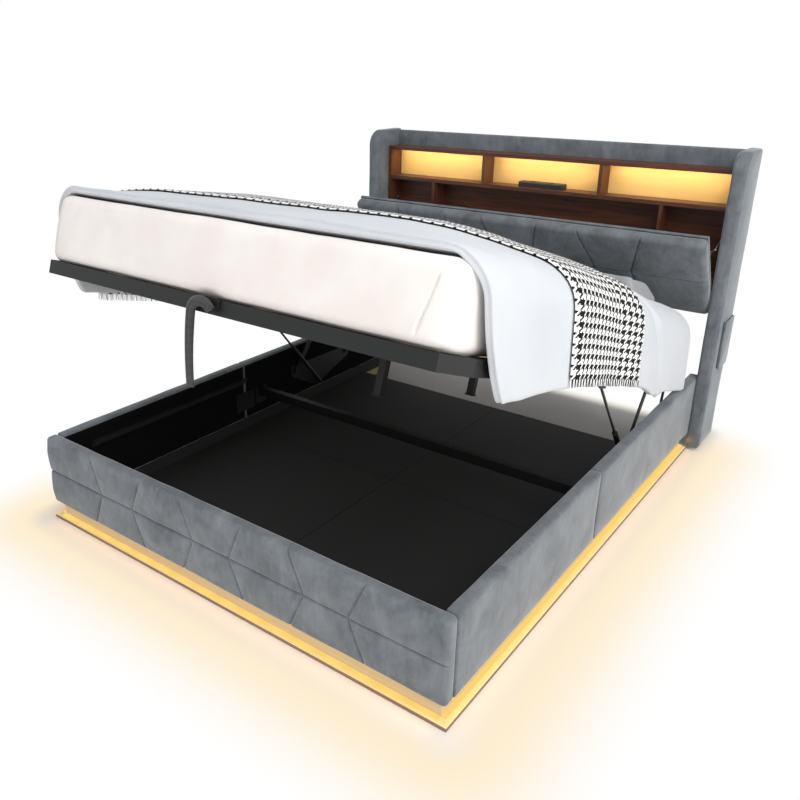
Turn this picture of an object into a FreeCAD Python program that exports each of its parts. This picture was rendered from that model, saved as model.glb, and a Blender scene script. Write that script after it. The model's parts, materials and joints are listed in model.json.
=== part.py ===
# Upholstered storage bed with a gas lift platform, a lit plinth and a shelved headboard.
# Lengths are millimetres. +Z is up, the footboard faces -Y and the headboard stands at +Y.
# The origin is on the floor at the middle of the bed. At rest the platform stands open
# and the padded drop panel of the headboard is let down.
import FreeCAD, Part
import Sketcher
import math
import os
import re

V = FreeCAD.Vector

SIZES = {
    # plan and heights of the frame
    "bed_width": 1740,
    "bed_length": 2100,
    "rail_top": 344,
    "rail_bottom": 70,
    "rail_thickness": 42,
    "rail_head_length": 1097,
    "rail_joint": "bed_length - rail_head_length",
    "rail_tail": 60,
    "footboard_thickness": 46,
    "headboard_depth": 225,
    "headboard_height": 1310,
    "wing_thickness": 58,
    "wing_lift": 15,
    "wing_corner": 75,
    # upholstery over the boards
    "skin_side": 7,
    "skin_top": 10,
    "skin_round": 6,
    "wing_round": 14,
    "quilt_thickness": 20,
    "seam_depth": 9,
    "seam_width": 24,
    "quilt_pitch": 468,
    "quilt_waist": 162,
    "quilt_mouth": 280,
    "quilt_round": 9,
    # lit plinth
    "ledge_thickness": 12,
    "ledge_overhang": 6,
    "ledge_width": 100,
    "riser_thickness": 16,
    "riser_setback": 26,
    "light_width": 16,
    "light_thickness": 4,
    # storage box
    "floor_thickness": 10,
    "floor_gap": 2,
    "floor_head_gap": 160,
    "floor_end": "bed_length - floor_head_gap",
    "sleeper_width": 60,
    "beam_reach": 1008,
    "beam_start": "bed_length - beam_reach",
    "beam_width": 30,
    "beam_height": 40,
    "beam_top": 204,
    "beam_plate": 4,
    "beam_plate_width": 70,
    "beam_plate_height": 80,
    "ledger_width": 28,
    "ledger_height": 26,
    "ledger_wall": 4,
    "ledger_gap": 3,
    "ledger_end": "rail_joint - ledger_gap",
    "bracket_leg": 60,
    "bracket_wall": 4,
    "bracket_height": 150,
    "splice_length": 120,
    "splice_height": 90,
    # platform
    "mattress_margin": 70,
    "mattress_width": "bed_width - 2 * mattress_margin",
    "mattress_inset": 3,
    "mattress_length": "platform_length - 2 * mattress_inset",
    "mattress_height": 218,
    "mattress_corner": 70,
    "mattress_edge": 16,
    "mattress_crown": 6,
    "platform_gap": 8,
    "foot_gap": 29,
    "platform_end_gap": 94,
    "platform_length": "bed_length - platform_end_gap",
    "bar_width": 40,
    "bar_height": 45,
    "bar_wall": 2,
    "chamfer_in": 52,
    "chamfer_back": 88,
    "slat_width": 64,
    "slat_thickness": 12,
    "slat_count": 14,
    "leg_length": 251.5,
    "leg_gap": 3,
    "leg_side": 32,
    "leg_first_reach": 1016,
    "leg_first": "platform_length - leg_first_reach",
    "leg_second_reach": 229,
    "leg_second": "platform_length - leg_second_reach",
    "leg_pad": 6,
    "leg_pad_side": 40,
    "rest_gap": 0.5,
    # lift gear
    "lift_tilt": 18,
    "open_head_gap": 147.2,
    "open_head_height": 355.1,
    "open_foot_y": "bed_length - open_head_gap - platform_length * cos(lift_tilt)",
    "open_foot_z": "open_head_height + platform_length * sin(lift_tilt)",
    "pin_drop": 18,
    "arm_pin_reach": 399,
    "arm_pin": "platform_length - arm_pin_reach",
    "arm_reach": 309,
    "arm_width": 28,
    "link_pin_reach": 141,
    "link_pin": "platform_length - link_pin_reach",
    "link_reach": 165,
    "link_width": 24,
    "gear_plate": 4,
    "arm_thickness": 5,
    "arm_inset": 5,
    "lug_inset": 10.5,
    "lug_length": 60,
    "pin_radius": 6,
    "pin_head": 10,
    "pin_head_height": 3,
    "pin_fit": 0.25,
    "strut_pin_reach": 906,
    "strut_pin": "platform_length - strut_pin_reach",
    "strut_foot_reach": 580,
    "strut_foot_y": "bed_length - strut_foot_reach",
    "strut_foot_z": 105,
    "strut_inset": 22,
    "cylinder_radius": 10,
    "cylinder_wall": 2,
    "rod_radius": 5,
    "rod_tail": 20,
    "eye_radius": 9,
    "eye_thickness": 12,
    "eye_pin": 4,
    "plate_margin": 26,
    # headboard shelves
    "back_thickness": 25,
    "back_bottom": 600,
    "shelf_front": 104,
    "shelf_thickness": 18,
    "shelf_top_drop": 82,
    "shelf_top": "headboard_height - shelf_top_drop",
    "lamp_row_share": 0.27437,
    "shelf_middle": "shelf_top - lamp_row_share * (shelf_top - shelf_bottom)",
    "shelf_bottom": 674,
    "lamp_divider": 298,
    "store_divider": 585,
    "divider_thickness": 16,
    "strip_width": 10,
    "strip_height": 8,
    "strip_margin": 20,
    # charging station
    "charger_length": 230,
    "charger_depth": 52,
    "charger_height": 26,
    "charger_round": 6,
    "socket_radius": 17,
    "socket_recess": 6,
    "socket_spacing": 52,
    "port_width": 13,
    "port_height": 6,
    "port_recess": 3,
    # side pockets
    "pocket_depth": 12,
    "pocket_cloth": 3,
    "pocket_bottom": 380,
    "pocket_top": 600,
    "pocket_start": 60,
    "pocket_end": 200,
    "pocket_round": 24,
    # drop panel
    "panel_lap": 22,
    "panel_height": "shelf_middle - shelf_bottom + panel_lap",
    "panel_pad": 52,
    "panel_board": 12,
    "panel_gap": 4,
    "panel_round": 18,
    "panel_tilt": 35.5,
    "hinge_drop": 8,
    "hinge_radius": 6,
    "hinge_pin": 2.5,
    "hinge_leaf": 2,
    "hinge_leaf_length": 34,
    "hinge_knuckle": 26,
    "hinge_spacing": 600,
    "hinge_fit": 0.3,
    "stay_bar": 122,
    "stay_width": 14,
    "stay_thickness": 3,
    "stay_post_y": 66,
    "stay_post_z": 308,
    "stay_panel_y": 11,
    "stay_panel_z": 300,
    "stay_pin": 3,
    # fixings
    "bolt_radius": 8,
    "bolt_head": 4,
    # pull strap
    "strap_width": 26,
    "strap_thickness": 14,
    "strap_drop": 262,
    "strap_bend": 46,
    "strap_start": 35,
    "strap_lean": 12,
    "keeper_width": 34,
    "keeper_depth": 5,
    "keeper_height": 30,
    # bedding
    "duvet_thickness": 36,
    "duvet_hang": 46,
    "duvet_side": "mattress_width / 2 + duvet_hang",
    "duvet_start": 4,
    "duvet_head_gap": 470,
    "duvet_end": "mattress_length - duvet_head_gap",
    "duvet_crown": 118,
    "duvet_drop": 272,
    "duvet_fall_gap": 100,
    "duvet_fall_end": "mattress_length - duvet_fall_gap",
    "duvet_cloth": 18,
    "duvet_corner": 60,
    "duvet_folds": 9,
    "throw_folds": 5,
    "fold_depth": 9,
    "throw_thickness": 5,
    "throw_hang": 70,
    "throw_side": "mattress_width / 2 + throw_hang",
    "throw_width": 690,
    "throw_left_share": 0.19,
    "throw_left_start": "throw_left_share * (duvet_end - throw_width)",
    "throw_right_share": 0.62,
    "throw_right_start": "throw_right_share * (duvet_end - throw_width)",
    "throw_left_drop": 352,
    "throw_right_drop": 308,
    "cloth_gap": 0.4,
    "pillow_width": 680,
    "pillow_length": 420,
    "pillow_height": 118,
    "pillow_draw": 22,
    "pillow_corner": 60,
    "pillow_gap": 50,
    "pillow_offset": "pillow_width / 2 + pillow_gap",
    "pillow_end": 40,
    "overrun": 5,
}

PAIR = (("left", -1), ("right", 1))

# Shares of the sizes that the forms follow
LOWER_MARGIN_SHARE = 0.5
MATTRESS_SHARES = ((0, 1), (0.33, 0.25), (1, 0))
DUVET_SHARES = ((0, 0.25), (0.25, 0), (0.5, 0), (0.8, 0.25), (1, 0.75))
CROWN_SHARES = ((0.3, 0.16), (0.58, 0.35), (0.82, 0.58), (0.95, 0.78), (1, 0.92))
BEND_LIMIT_SHARE = 0.8
FALL_SHARES = (0, 0.45, 1)
TOP_FOLD_SHARE = 0.1
PILLOW_SHARES = ((0, 0.8), (0.2, 0.96), (0.4, 1), (0.62, 0.95), (0.82, 0.8), (0.95, 0.56), (1, 0.3))
KNUCKLE_SHARES = (-1.5, 0.5)
BOLT_SHARES = (0.33, 0.67)

doc = FreeCAD.newDocument("storage_bed")
sheet = doc.addObject("Spreadsheet::Sheet", "dims")
for row, alias in enumerate(SIZES, start=1):
    sheet.set(f"A{row}", alias)
    sheet.setAlias(f"B{row}", alias)
for row, value in enumerate(SIZES.values(), start=1):
    sheet.set(f"B{row}", f"={value}")
doc.recompute()

nodes = []


def size(alias):
    """Value of a driving dimension, read from the sheet."""
    return float(sheet.get(alias))


def bind(piece, prop, formula):
    """Tie a property to the sheet; plain words in the formula are the sheet's names."""
    piece.setExpression(prop, re.sub(
        r"[a-z][a-z_]+", lambda m: "dims." + m.group(0) if m.group(0) in SIZES else m.group(0), formula))


MIDDLE = "(bed_length + headboard_depth) / 2"
middle_y = (size("bed_length") + size("headboard_depth")) / 2


def at(x, y, z):
    """Point given with Y measured from the footboard's front."""
    return V(x, y - middle_y, z)


def keep(piece):
    """List a finished sub-part."""
    nodes.append(piece)
    return piece


def block(name, x, y, z):
    """Box between two formulas on each axis, Y measured from the footboard's front."""
    piece = doc.addObject("Part::Box", name)
    for prop, axis, (low, high) in (("Length", "x", x), ("Width", "y", y), ("Height", "z", z)):
        bind(piece, prop, f"({high}) - ({low})")
        bind(piece, f"Placement.Base.{axis}", f"{low} - {MIDDLE}" if axis == "y" else low)
    return piece


def cross_rod(name, x, y, z, radius):
    """Round bar along X."""
    piece = doc.addObject("Part::Cylinder", name)
    piece.Placement = FreeCAD.Placement(V(), FreeCAD.Rotation(V(0, 1, 0), 90))
    bind(piece, "Radius", radius)
    bind(piece, "Height", f"({x[1]}) - ({x[0]})")
    bind(piece, "Placement.Base.x", x[0])
    bind(piece, "Placement.Base.y", f"{y} - {MIDDLE}")
    bind(piece, "Placement.Base.z", z)
    return piece


def sided(sign, low, high):
    """X range of a piece on the right side, or its mirror on the left."""
    return (low, high) if sign > 0 else (f"-({high})", f"-({low})")


def cut(name, base, *tools):
    for i, tool in enumerate(tools):
        piece = doc.addObject("Part::Cut", name if i == len(tools) - 1 else f"{name}_cut_{i}")
        piece.Base = base
        piece.Tool = tool
        base = piece
    return base


def fuse(name, pieces):
    piece = doc.addObject("Part::MultiFuse", name)
    piece.Shapes = pieces
    return piece


def group(name, pieces, placement=None):
    """Separate solids that share one node."""
    piece = doc.addObject("Part::Compound", name)
    piece.Links = pieces
    if placement:
        piece.Placement = placement
    return piece


def rounded(name, base, radius, chosen):
    """Round the edges that chosen() picks by their middle point and direction."""
    doc.recompute()
    piece = doc.addObject("Part::Fillet", name)
    piece.Base = base
    picked = []
    for number, edge in enumerate(base.Shape.Edges, start=1):
        ends = edge.Vertexes[-1].Point - edge.Vertexes[0].Point
        if chosen(edge.CenterOfMass, ends):
            picked.append((number, radius, radius))
    piece.Edges = picked
    return piece


def solid(name, shape, placement=None):
    """Piece whose form is drawn in code from the sheet's sizes."""
    piece = doc.addObject("Part::Feature", name)
    piece.Shape = shape
    if placement:
        piece.Placement = placement
    return piece


def turned_about(point, degrees):
    """Placement that turns a piece about the X direction through a point."""
    return FreeCAD.Placement(V(), FreeCAD.Rotation(V(1, 0, 0), degrees), point)


# Heights that several pieces share

FLOOR_TOP = "ledge_thickness + floor_thickness"
PLATFORM_BOTTOM = f"({FLOOR_TOP} + leg_gap + leg_length)"
PLATFORM_TOP = f"({PLATFORM_BOTTOM} + bar_height)"
PLATFORM_START = "(footboard_thickness + foot_gap)"
PLATFORM_SIDE = "(bed_width / 2 - rail_thickness - platform_gap)"
SHELF_FACE = "(bed_length + shelf_front)"
BACK_FACE = "(bed_length + headboard_depth - back_thickness)"

floor_top = size("ledge_thickness") + size("floor_thickness")
platform_bottom = floor_top + size("leg_gap") + size("leg_length")
platform_top = platform_bottom + size("bar_height")
platform_start = size("footboard_thickness") + size("foot_gap")
platform_side = size("bed_width") / 2 - size("rail_thickness") - size("platform_gap")
rail_inside = size("bed_width") / 2 - size("rail_thickness")
wing_inside = size("bed_width") / 2
shelf_face = size("bed_length") + size("shelf_front")

# Lift geometry: the open platform is the closed one turned about a pole

tilt = math.radians(size("lift_tilt"))
move_y = size("open_foot_y") - platform_start
move_z = size("open_foot_z") - platform_bottom
half_turn = 2 * math.tan(tilt / 2)
pole = at(0, (size("open_foot_y") + platform_start) / 2 + move_z / half_turn,
          (size("open_foot_z") + platform_bottom) / 2 - move_y / half_turn)
open_platform = turned_about(pole, -size("lift_tilt"))


def opened(point):
    """Where a point of the closed platform lies when the platform is open."""
    return open_platform.multVec(point)


def base_pivot(closed, reach):
    """Pivot on the rail from which a pin is equally far when closed and when open."""
    lifted = opened(closed)
    step = lifted - closed
    across = V(0, step.z, -step.y).normalize()
    return (lifted + closed) * 0.5 - across * reach


def angle_of(start, end):
    """Angle of a line from +Y towards +Z, in degrees."""
    return math.degrees(math.atan2(end.z - start.z, end.y - start.y))


pin_height = platform_bottom - size("pin_drop")
arm_pin_closed = at(0, platform_start + size("arm_pin"), pin_height)
link_pin_closed = at(0, platform_start + size("link_pin"), pin_height)
strut_pin_closed = at(0, platform_start + size("strut_pin"), pin_height)
arm_pivot = base_pivot(arm_pin_closed, size("arm_reach"))
link_pivot = base_pivot(link_pin_closed, size("link_reach"))
strut_pivot = at(0, size("strut_foot_y"), size("strut_foot_z"))
arm_pin_open = opened(arm_pin_closed)
link_pin_open = opened(link_pin_closed)
strut_pin_open = opened(strut_pin_closed)

# Drop panel geometry: its hinge line is under the front edge of the lowest shelf

shelf_under = size("shelf_bottom") - size("shelf_thickness")
hinge = at(0, shelf_face - size("hinge_leaf") / 2, shelf_under - size("hinge_drop"))
panel_open = turned_about(hinge, size("panel_tilt"))
stay_post = hinge + V(0, size("stay_post_y"), size("stay_post_z"))
stay_end_closed = hinge + V(0, size("stay_panel_y"), size("stay_panel_z"))
stay_end_open = panel_open.multVec(stay_end_closed)


def stay_elbow(end):
    """Joint of the two stay bars, hanging below the line between their outer ends."""
    line = end - stay_post
    sag = math.sqrt(size("stay_bar") ** 2 - (line.Length / 2) ** 2)
    down = V(0, -line.z, line.y).normalize()
    if down.z > 0:
        down = down * -1
    return stay_post + line * 0.5 + down * sag


# Upholstered boards: a padded skin, open below, over a timber core


def upholstered(name, x, y, z, radius):
    """Rounded skin, the room cut into it from below, and the board that fills the room."""
    blank = block(f"{name}_blank", x, y, z)

    def outer_edge(middle, ends):
        return middle.z > blank.Shape.BoundBox.ZMin + radius

    skin = rounded(f"{name}_skin", blank, radius, outer_edge)
    board = [(f"{low} + skin_side", f"{high} - skin_side") for low, high in (x, y)]
    room = block(f"{name}_room", *board, (f"{z[0]} - overrun", f"{z[1]} - skin_top"))
    core = block(f"{name}_core", *board, (z[0], f"{z[1]} - skin_top"))
    return skin, room, core


def rails():
    cores = []
    for side, sign in PAIR:
        x = sided(sign, "bed_width / 2 - rail_thickness", "bed_width / 2")
        for half, start, end in (
            ("foot", "footboard_thickness", "rail_joint"),
            ("head", "rail_joint", "bed_length + rail_tail"),
        ):
            name = f"{side}_{half}_rail_cover"
            skin, room, core = upholstered(name, x, (start, end), ("rail_bottom", "rail_top"),
                                           size("skin_round"))
            keep(cut(name, skin, room))
            cores.append(core)
    keep(group("rail_cores", cores))


def seam(start, end, normal):
    """V groove between two points of a padded face; normal points out of the face."""
    line = end - start
    across = line.cross(normal).normalize() * (size("seam_width") / 2)
    lift = normal * size("overrun")
    wide = 1 + size("overrun") / size("seam_depth")
    corners = [start + lift + across * wide, start + lift - across * wide,
               start - normal * size("seam_depth")]
    return Part.Face(Part.makePolygon(corners + corners[:1])).extrude(line)


def quilt_seams(face_y, low, high, half_width):
    """Seams of the quilting: a level seam, and pairs of slanted ones that pinch in at it."""
    waist_z = (low + high) / 2
    out = V(0, -1, 0)
    run = size("overrun")
    cuts = [seam(at(-half_width, face_y, waist_z), at(half_width, face_y, waist_z), out)]
    for column in (-1, 0, 1):
        for side in (-1, 1):
            waist = column * size("quilt_pitch") + side * size("quilt_waist") / 2
            mouth = column * size("quilt_pitch") + side * size("quilt_mouth") / 2
            for end_z in (low - run, high + run):
                cuts.append(seam(at(waist, face_y, waist_z), at(mouth, face_y, end_z), out))
    return cuts


def padded_face(x, y, z, radius):
    """Box of padding with its front edges rounded, Y measured from the footboard's front."""
    pad = Part.makeBox(x[1] - x[0], y[1] - y[0], z[1] - z[0], at(x[0], y[0], z[0]))
    front = at(0, y[0], 0).y
    edges = [e for e in pad.Edges if abs(e.CenterOfMass.y - front) < radius / 2]
    return pad.makeFillet(radius, edges)


def footboard():
    half = size("bed_width") / 2
    low, high = size("rail_bottom"), size("rail_top")
    skin = size("skin_side")
    pad = padded_face((-half, half), (0, size("footboard_thickness")), (low, high), size("quilt_round"))
    room_y = size("quilt_thickness")
    room = Part.makeBox(2 * (half - skin), size("footboard_thickness") - skin - room_y,
                        high - size("skin_top") - low + size("overrun"),
                        at(-half + skin, room_y, low - size("overrun")))
    pad = pad.cut([room] + quilt_seams(0, low, high, half))
    keep(solid("footboard_cover", pad))
    keep(block("footboard_core", ("-(bed_width / 2 - skin_side)", "bed_width / 2 - skin_side"),
               ("quilt_thickness", "footboard_thickness - skin_side"),
               ("rail_bottom", "rail_top - skin_top")))


# Lit plinth, storage floor and box fittings


def plinth():
    reach = "bed_width / 2 + ledge_overhang"
    low_high = ("0", "ledge_thickness")
    boards = [block("foot_ledge", (f"-({reach})", reach), ("0", "ledge_width"), low_high)]
    risers = [block("foot_riser", ("-(bed_width / 2 - riser_setback)", "bed_width / 2 - riser_setback"),
                    ("riser_setback", "riser_setback + riser_thickness"), ("ledge_thickness", "rail_bottom"))]
    lights = [block("foot_light", ("-(bed_width / 2 - riser_setback)", "bed_width / 2 - riser_setback"),
                    ("riser_setback - light_width", "riser_setback"),
                    ("ledge_thickness", "ledge_thickness + light_thickness"))]
    for side, sign in PAIR:
        x = sided(sign, "bed_width / 2 - ledge_width", reach)
        boards.append(block(f"{side}_foot_ledge", x, ("ledge_width", "rail_joint"), low_high))
        boards.append(block(f"{side}_head_ledge", x, ("rail_joint", "bed_length - floor_gap"), low_high))
        x = sided(sign, "bed_width / 2 - riser_setback - riser_thickness", "bed_width / 2 - riser_setback")
        risers.append(block(f"{side}_riser", x, ("riser_setback + riser_thickness", "bed_length - floor_gap"),
                            ("ledge_thickness", "rail_bottom")))
        x = sided(sign, "bed_width / 2 - riser_setback", "bed_width / 2 - riser_setback + light_width")
        lights.append(block(f"{side}_light", x, ("riser_setback", "bed_length - floor_gap"),
                            ("ledge_thickness", "ledge_thickness + light_thickness")))
    keep(group("plinth_ledges", boards))
    keep(group("plinth_risers", risers))
    keep(group("plinth_lights", lights))


def storage_floor():
    inside = "(bed_width / 2 - riser_setback - riser_thickness)"
    start = "riser_setback + riser_thickness"
    panels = []
    for column, (low, high) in enumerate(((f"-{inside}", "-floor_gap / 2"), ("floor_gap / 2", inside))):
        for row, (near, far) in enumerate(((start, "rail_joint - floor_gap / 2"),
                                           ("rail_joint + floor_gap / 2", "floor_end"))):
            panels.append(block(f"floor_panel_{column}_{row}", (low, high), (near, far),
                                ("ledge_thickness", FLOOR_TOP)))
    keep(group("storage_floor_panels", panels))
    sleepers = []
    span = ("-(bed_width / 2 - ledge_width)", "bed_width / 2 - ledge_width")
    for number, middle in enumerate(("rail_joint", "floor_end - sleeper_width / 2")):
        sleepers.append(block(f"sleeper_{number}", span,
                              (f"{middle} - sleeper_width / 2", f"{middle} + sleeper_width / 2"),
                              ("0", "ledge_thickness")))
    keep(group("floor_sleepers", sleepers))


def box_fittings():
    inside = "bed_width / 2 - rail_thickness"
    beam = block("beam_tube", (f"-({inside} - beam_plate)", f"{inside} - beam_plate"),
                 ("beam_start", "beam_start + beam_width"), ("beam_top - beam_height", "beam_top"))
    bore = block("beam_bore", (f"-({inside})", inside),
                 ("beam_start + bar_wall", "beam_start + beam_width - bar_wall"),
                 ("beam_top - beam_height + bar_wall", "beam_top - bar_wall"))
    plates = []
    for side, sign in PAIR:
        middle = "beam_start + beam_width / 2"
        plates.append(block(f"{side}_beam_plate", sided(sign, f"{inside} - beam_plate", inside),
                            (f"{middle} - beam_plate_width / 2", f"{middle} + beam_plate_width / 2"),
                            ("beam_top - beam_plate_height", "beam_top")))
    keep(fuse("cross_beam", [cut("cross_beam_tube", beam, bore)] + plates))

    ledgers = []
    top = f"{PLATFORM_BOTTOM} - rest_gap"
    for side, sign in PAIR:
        y = (f"{PLATFORM_START} + chamfer_back", "ledger_end")
        tall = block(f"{side}_ledger_tall", sided(sign, f"{inside} - ledger_wall", inside), y,
                     (f"{top} - ledger_height", top))
        flat = block(f"{side}_ledger_flat", sided(sign, f"{inside} - ledger_width", inside), y,
                     (f"{top} - ledger_wall", top))
        ledgers.append(fuse(f"{side}_ledger", [tall, flat]))
    foot_x = (f"-({PLATFORM_SIDE} - chamfer_in)", f"{PLATFORM_SIDE} - chamfer_in")
    tall = block("foot_ledger_tall", foot_x, ("footboard_thickness", "footboard_thickness + ledger_wall"),
                 (f"{top} - ledger_height", top))
    flat = block("foot_ledger_flat", foot_x, ("footboard_thickness", f"{PLATFORM_START} + bar_width / 2"),
                 (f"{top} - ledger_wall", top))
    ledgers.append(fuse("foot_ledger", [tall, flat]))
    keep(group("platform_ledgers", ledgers))

    brackets = []
    for side, sign in PAIR:
        z = ("rail_bottom + ledge_thickness", "rail_bottom + ledge_thickness + bracket_height")
        on_rail = block(f"{side}_bracket_rail", sided(sign, f"{inside} - bracket_wall", inside),
                        ("footboard_thickness", "footboard_thickness + bracket_leg"), z)
        on_foot = block(f"{side}_bracket_foot", sided(sign, f"{inside} - bracket_leg", inside),
                        ("footboard_thickness", "footboard_thickness + bracket_wall"), z)
        brackets.append(fuse(f"{side}_corner_bracket", [on_rail, on_foot]))
        middle_z = "(rail_bottom + splice_height)"
        brackets.append(block(f"{side}_splice_plate", sided(sign, f"{inside} - bracket_wall", inside),
                              ("rail_joint - splice_length / 2", "rail_joint + splice_length / 2"),
                              (f"{middle_z} - splice_height / 2", f"{middle_z} + splice_height / 2")))
    keep(group("rail_brackets", brackets))


# Headboard: wings, back panel, shelves, lights, charging station, pockets


def wing_sketch(body, depth, height):
    """Side view of a wing, drawn from its lower front corner."""
    plane = [f for f in body.Origin.OriginFeatures if f.Role == "YZ_Plane"][0]
    sketch = body.newObject("Sketcher::SketchObject", f"{body.Name}_outline")
    sketch.AttachmentSupport = (plane, [""])
    sketch.MapMode = "FlatFace"
    corners = [V(0, 0, 0), V(depth, 0, 0), V(depth, height, 0), V(0, height, 0)]
    for i, corner in enumerate(corners):
        sketch.addGeometry(Part.LineSegment(corner, corners[(i + 1) % len(corners)]), False)
    for i in range(len(corners)):
        sketch.addConstraint(Sketcher.Constraint("Coincident", i, 2, (i + 1) % len(corners), 1))
    for i, kind in enumerate(("Horizontal", "Vertical", "Horizontal", "Vertical")):
        sketch.addConstraint(Sketcher.Constraint(kind, i))
    sketch.addConstraint(Sketcher.Constraint("Coincident", 0, 1, -1, 1))
    width = sketch.addConstraint(Sketcher.Constraint("Distance", 0, depth))
    rise = sketch.addConstraint(Sketcher.Constraint("Distance", 1, height))
    bind(sketch, f"Constraints[{width}]", "headboard_depth")
    bind(sketch, f"Constraints[{rise}]", "headboard_height - wing_lift")
    return sketch


def along(edge, way):
    """Whether an edge is straight and runs the given way."""
    return abs(edge.tangentAt(edge.FirstParameter).dot(way)) > 1 - edge.Vertexes[0].Tolerance


def wing_edges(feature, chosen):
    """Names of the edges of a feature that chosen() picks."""
    return [f"Edge{n}" for n, edge in enumerate(feature.Shape.Edges, start=1) if chosen(edge)]


def wings():
    cores = []
    depth, height = size("headboard_depth"), size("headboard_height") - size("wing_lift")
    for side, sign in PAIR:
        name = f"{side}_wing_cover"
        body = doc.addObject("PartDesign::Body", f"{side}_wing_body")
        sketch = wing_sketch(body, depth, height)
        pad = body.newObject("PartDesign::Pad", f"{side}_wing_pad")
        pad.Profile = sketch
        bind(pad, "Length", "wing_thickness")
        doc.recompute()
        crown = body.newObject("PartDesign::Fillet", f"{side}_wing_crown")
        crown.Base = (pad, wing_edges(pad, lambda e: along(e, V(1, 0, 0)) and e.CenterOfMass.y < depth / 2
                                      and e.CenterOfMass.z > height / 2))
        bind(crown, "Radius", "wing_corner")
        doc.recompute()
        soft = body.newObject("PartDesign::Fillet", f"{side}_wing_soft")
        soft.Base = (crown, wing_edges(crown, lambda e: not along(e, V(1, 0, 0))
                                       and e.CenterOfMass.z > size("wing_round")))
        bind(soft, "Radius", "wing_round")
        body.Tip = soft
        bind(body, "Placement.Base.x", "bed_width / 2" if sign > 0 else "-(bed_width / 2 + wing_thickness)")
        bind(body, "Placement.Base.y", f"bed_length - {MIDDLE}")
        bind(body, "Placement.Base.z", "wing_lift")
        x = sided(sign, "bed_width / 2 + wing_round", "bed_width / 2 + wing_thickness - wing_round")
        y = ("bed_length + wing_round", "bed_length + headboard_depth - wing_round")
        top = "headboard_height - wing_corner"
        room = block(f"{name}_room", x, y, ("wing_lift - overrun", top))
        cores.append(block(f"{side}_wing_core", x, y, ("wing_lift", top)))
        keep(cut(name, body, room))
    name = "headboard_back_cover"
    skin, room, core = upholstered(name, ("-bed_width / 2", "bed_width / 2"),
                                   (BACK_FACE, "bed_length + headboard_depth"),
                                   ("back_bottom", "headboard_height - skin_round"), size("skin_round"))
    keep(cut(name, skin, room))
    keep(group("headboard_cores", cores + [core]))


def shelves():
    inner = "(bed_width / 2 - shelf_thickness)"
    depth = (SHELF_FACE, BACK_FACE)
    for top, wide in (("shelf_top", "bed_width / 2"), ("shelf_middle", inner), ("shelf_bottom", inner)):
        keep(block(f"{top}_board", (f"-{wide}", wide), depth, (f"{top} - shelf_thickness", top)))
    ends = [block(f"shelf_{side}_side", sided(sign, inner, "bed_width / 2"), depth,
                  ("shelf_bottom - shelf_thickness", "shelf_top - shelf_thickness")) for side, sign in PAIR]
    keep(group("shelf_sides", ends))
    half = "divider_thickness / 2"
    dividers = []
    for name, place, low, high in (
        ("lamp_dividers", "lamp_divider", "shelf_middle", "shelf_top - shelf_thickness"),
        ("store_dividers", "store_divider", "shelf_bottom", "shelf_middle - shelf_thickness"),
    ):
        for side, sign in PAIR:
            x = sided(sign, f"{place} - {half}", f"{place} + {half}")
            dividers.append(block(f"{side}_{name}", x, depth, (low, high)))
    keep(group("shelf_dividers", dividers))
    strips = []
    spans = (
        (f"-{inner} + strip_margin", f"-lamp_divider - {half} - strip_margin"),
        (f"-lamp_divider + {half} + strip_margin", f"lamp_divider - {half} - strip_margin"),
        (f"lamp_divider + {half} + strip_margin", f"{inner} - strip_margin"),
    )
    for number, span in enumerate(spans):
        strips.append(block(f"shelf_light_{number}", span,
                            (f"{BACK_FACE} - strip_margin - strip_width", f"{BACK_FACE} - strip_margin"),
                            ("shelf_top - shelf_thickness - strip_height", "shelf_top - shelf_thickness")))
    keep(group("shelf_lights", strips))


def charging_station():
    y = f"({SHELF_FACE} + {BACK_FACE}) / 2"
    case = block("charger_blank", ("-charger_length / 2", "charger_length / 2"),
                 (f"{y} - charger_depth / 2", f"{y} + charger_depth / 2"),
                 ("shelf_middle", "shelf_middle + charger_height"))
    case = rounded("charger_soft", case, size("charger_round"),
                   lambda middle, ends: middle.z > size("shelf_middle") + size("charger_round"))
    wells = []
    cups = []
    places = ("-socket_spacing / 2 - socket_radius", "socket_spacing / 2 + socket_radius")
    for number, place in enumerate(places):
        for name, radius, height, pile in (
            ("socket_well", "socket_radius", "socket_recess + overrun", wells),
            ("socket_face", "socket_radius - hinge_fit", "socket_recess / 2", cups),
        ):
            piece = doc.addObject("Part::Cylinder", f"{name}_{number}")
            bind(piece, "Radius", radius)
            bind(piece, "Height", height)
            bind(piece, "Placement.Base.x", place)
            bind(piece, "Placement.Base.y", f"{y} - {MIDDLE}")
            bind(piece, "Placement.Base.z", "shelf_middle + charger_height - socket_recess")
            pile.append(piece)
    for number in (-1, 1):
        middle = f"{number} * port_width"
        wells.append(block(f"port_{number + 1}", (f"{middle} - port_width / 2", f"{middle} + port_width / 2"),
                           (f"{y} - port_height / 2", f"{y} + port_height / 2"),
                           ("shelf_middle + charger_height - port_recess",
                            "shelf_middle + charger_height + overrun")))
    keep(cut("charging_station", case, *wells))
    keep(group("socket_faces", cups))


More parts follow.
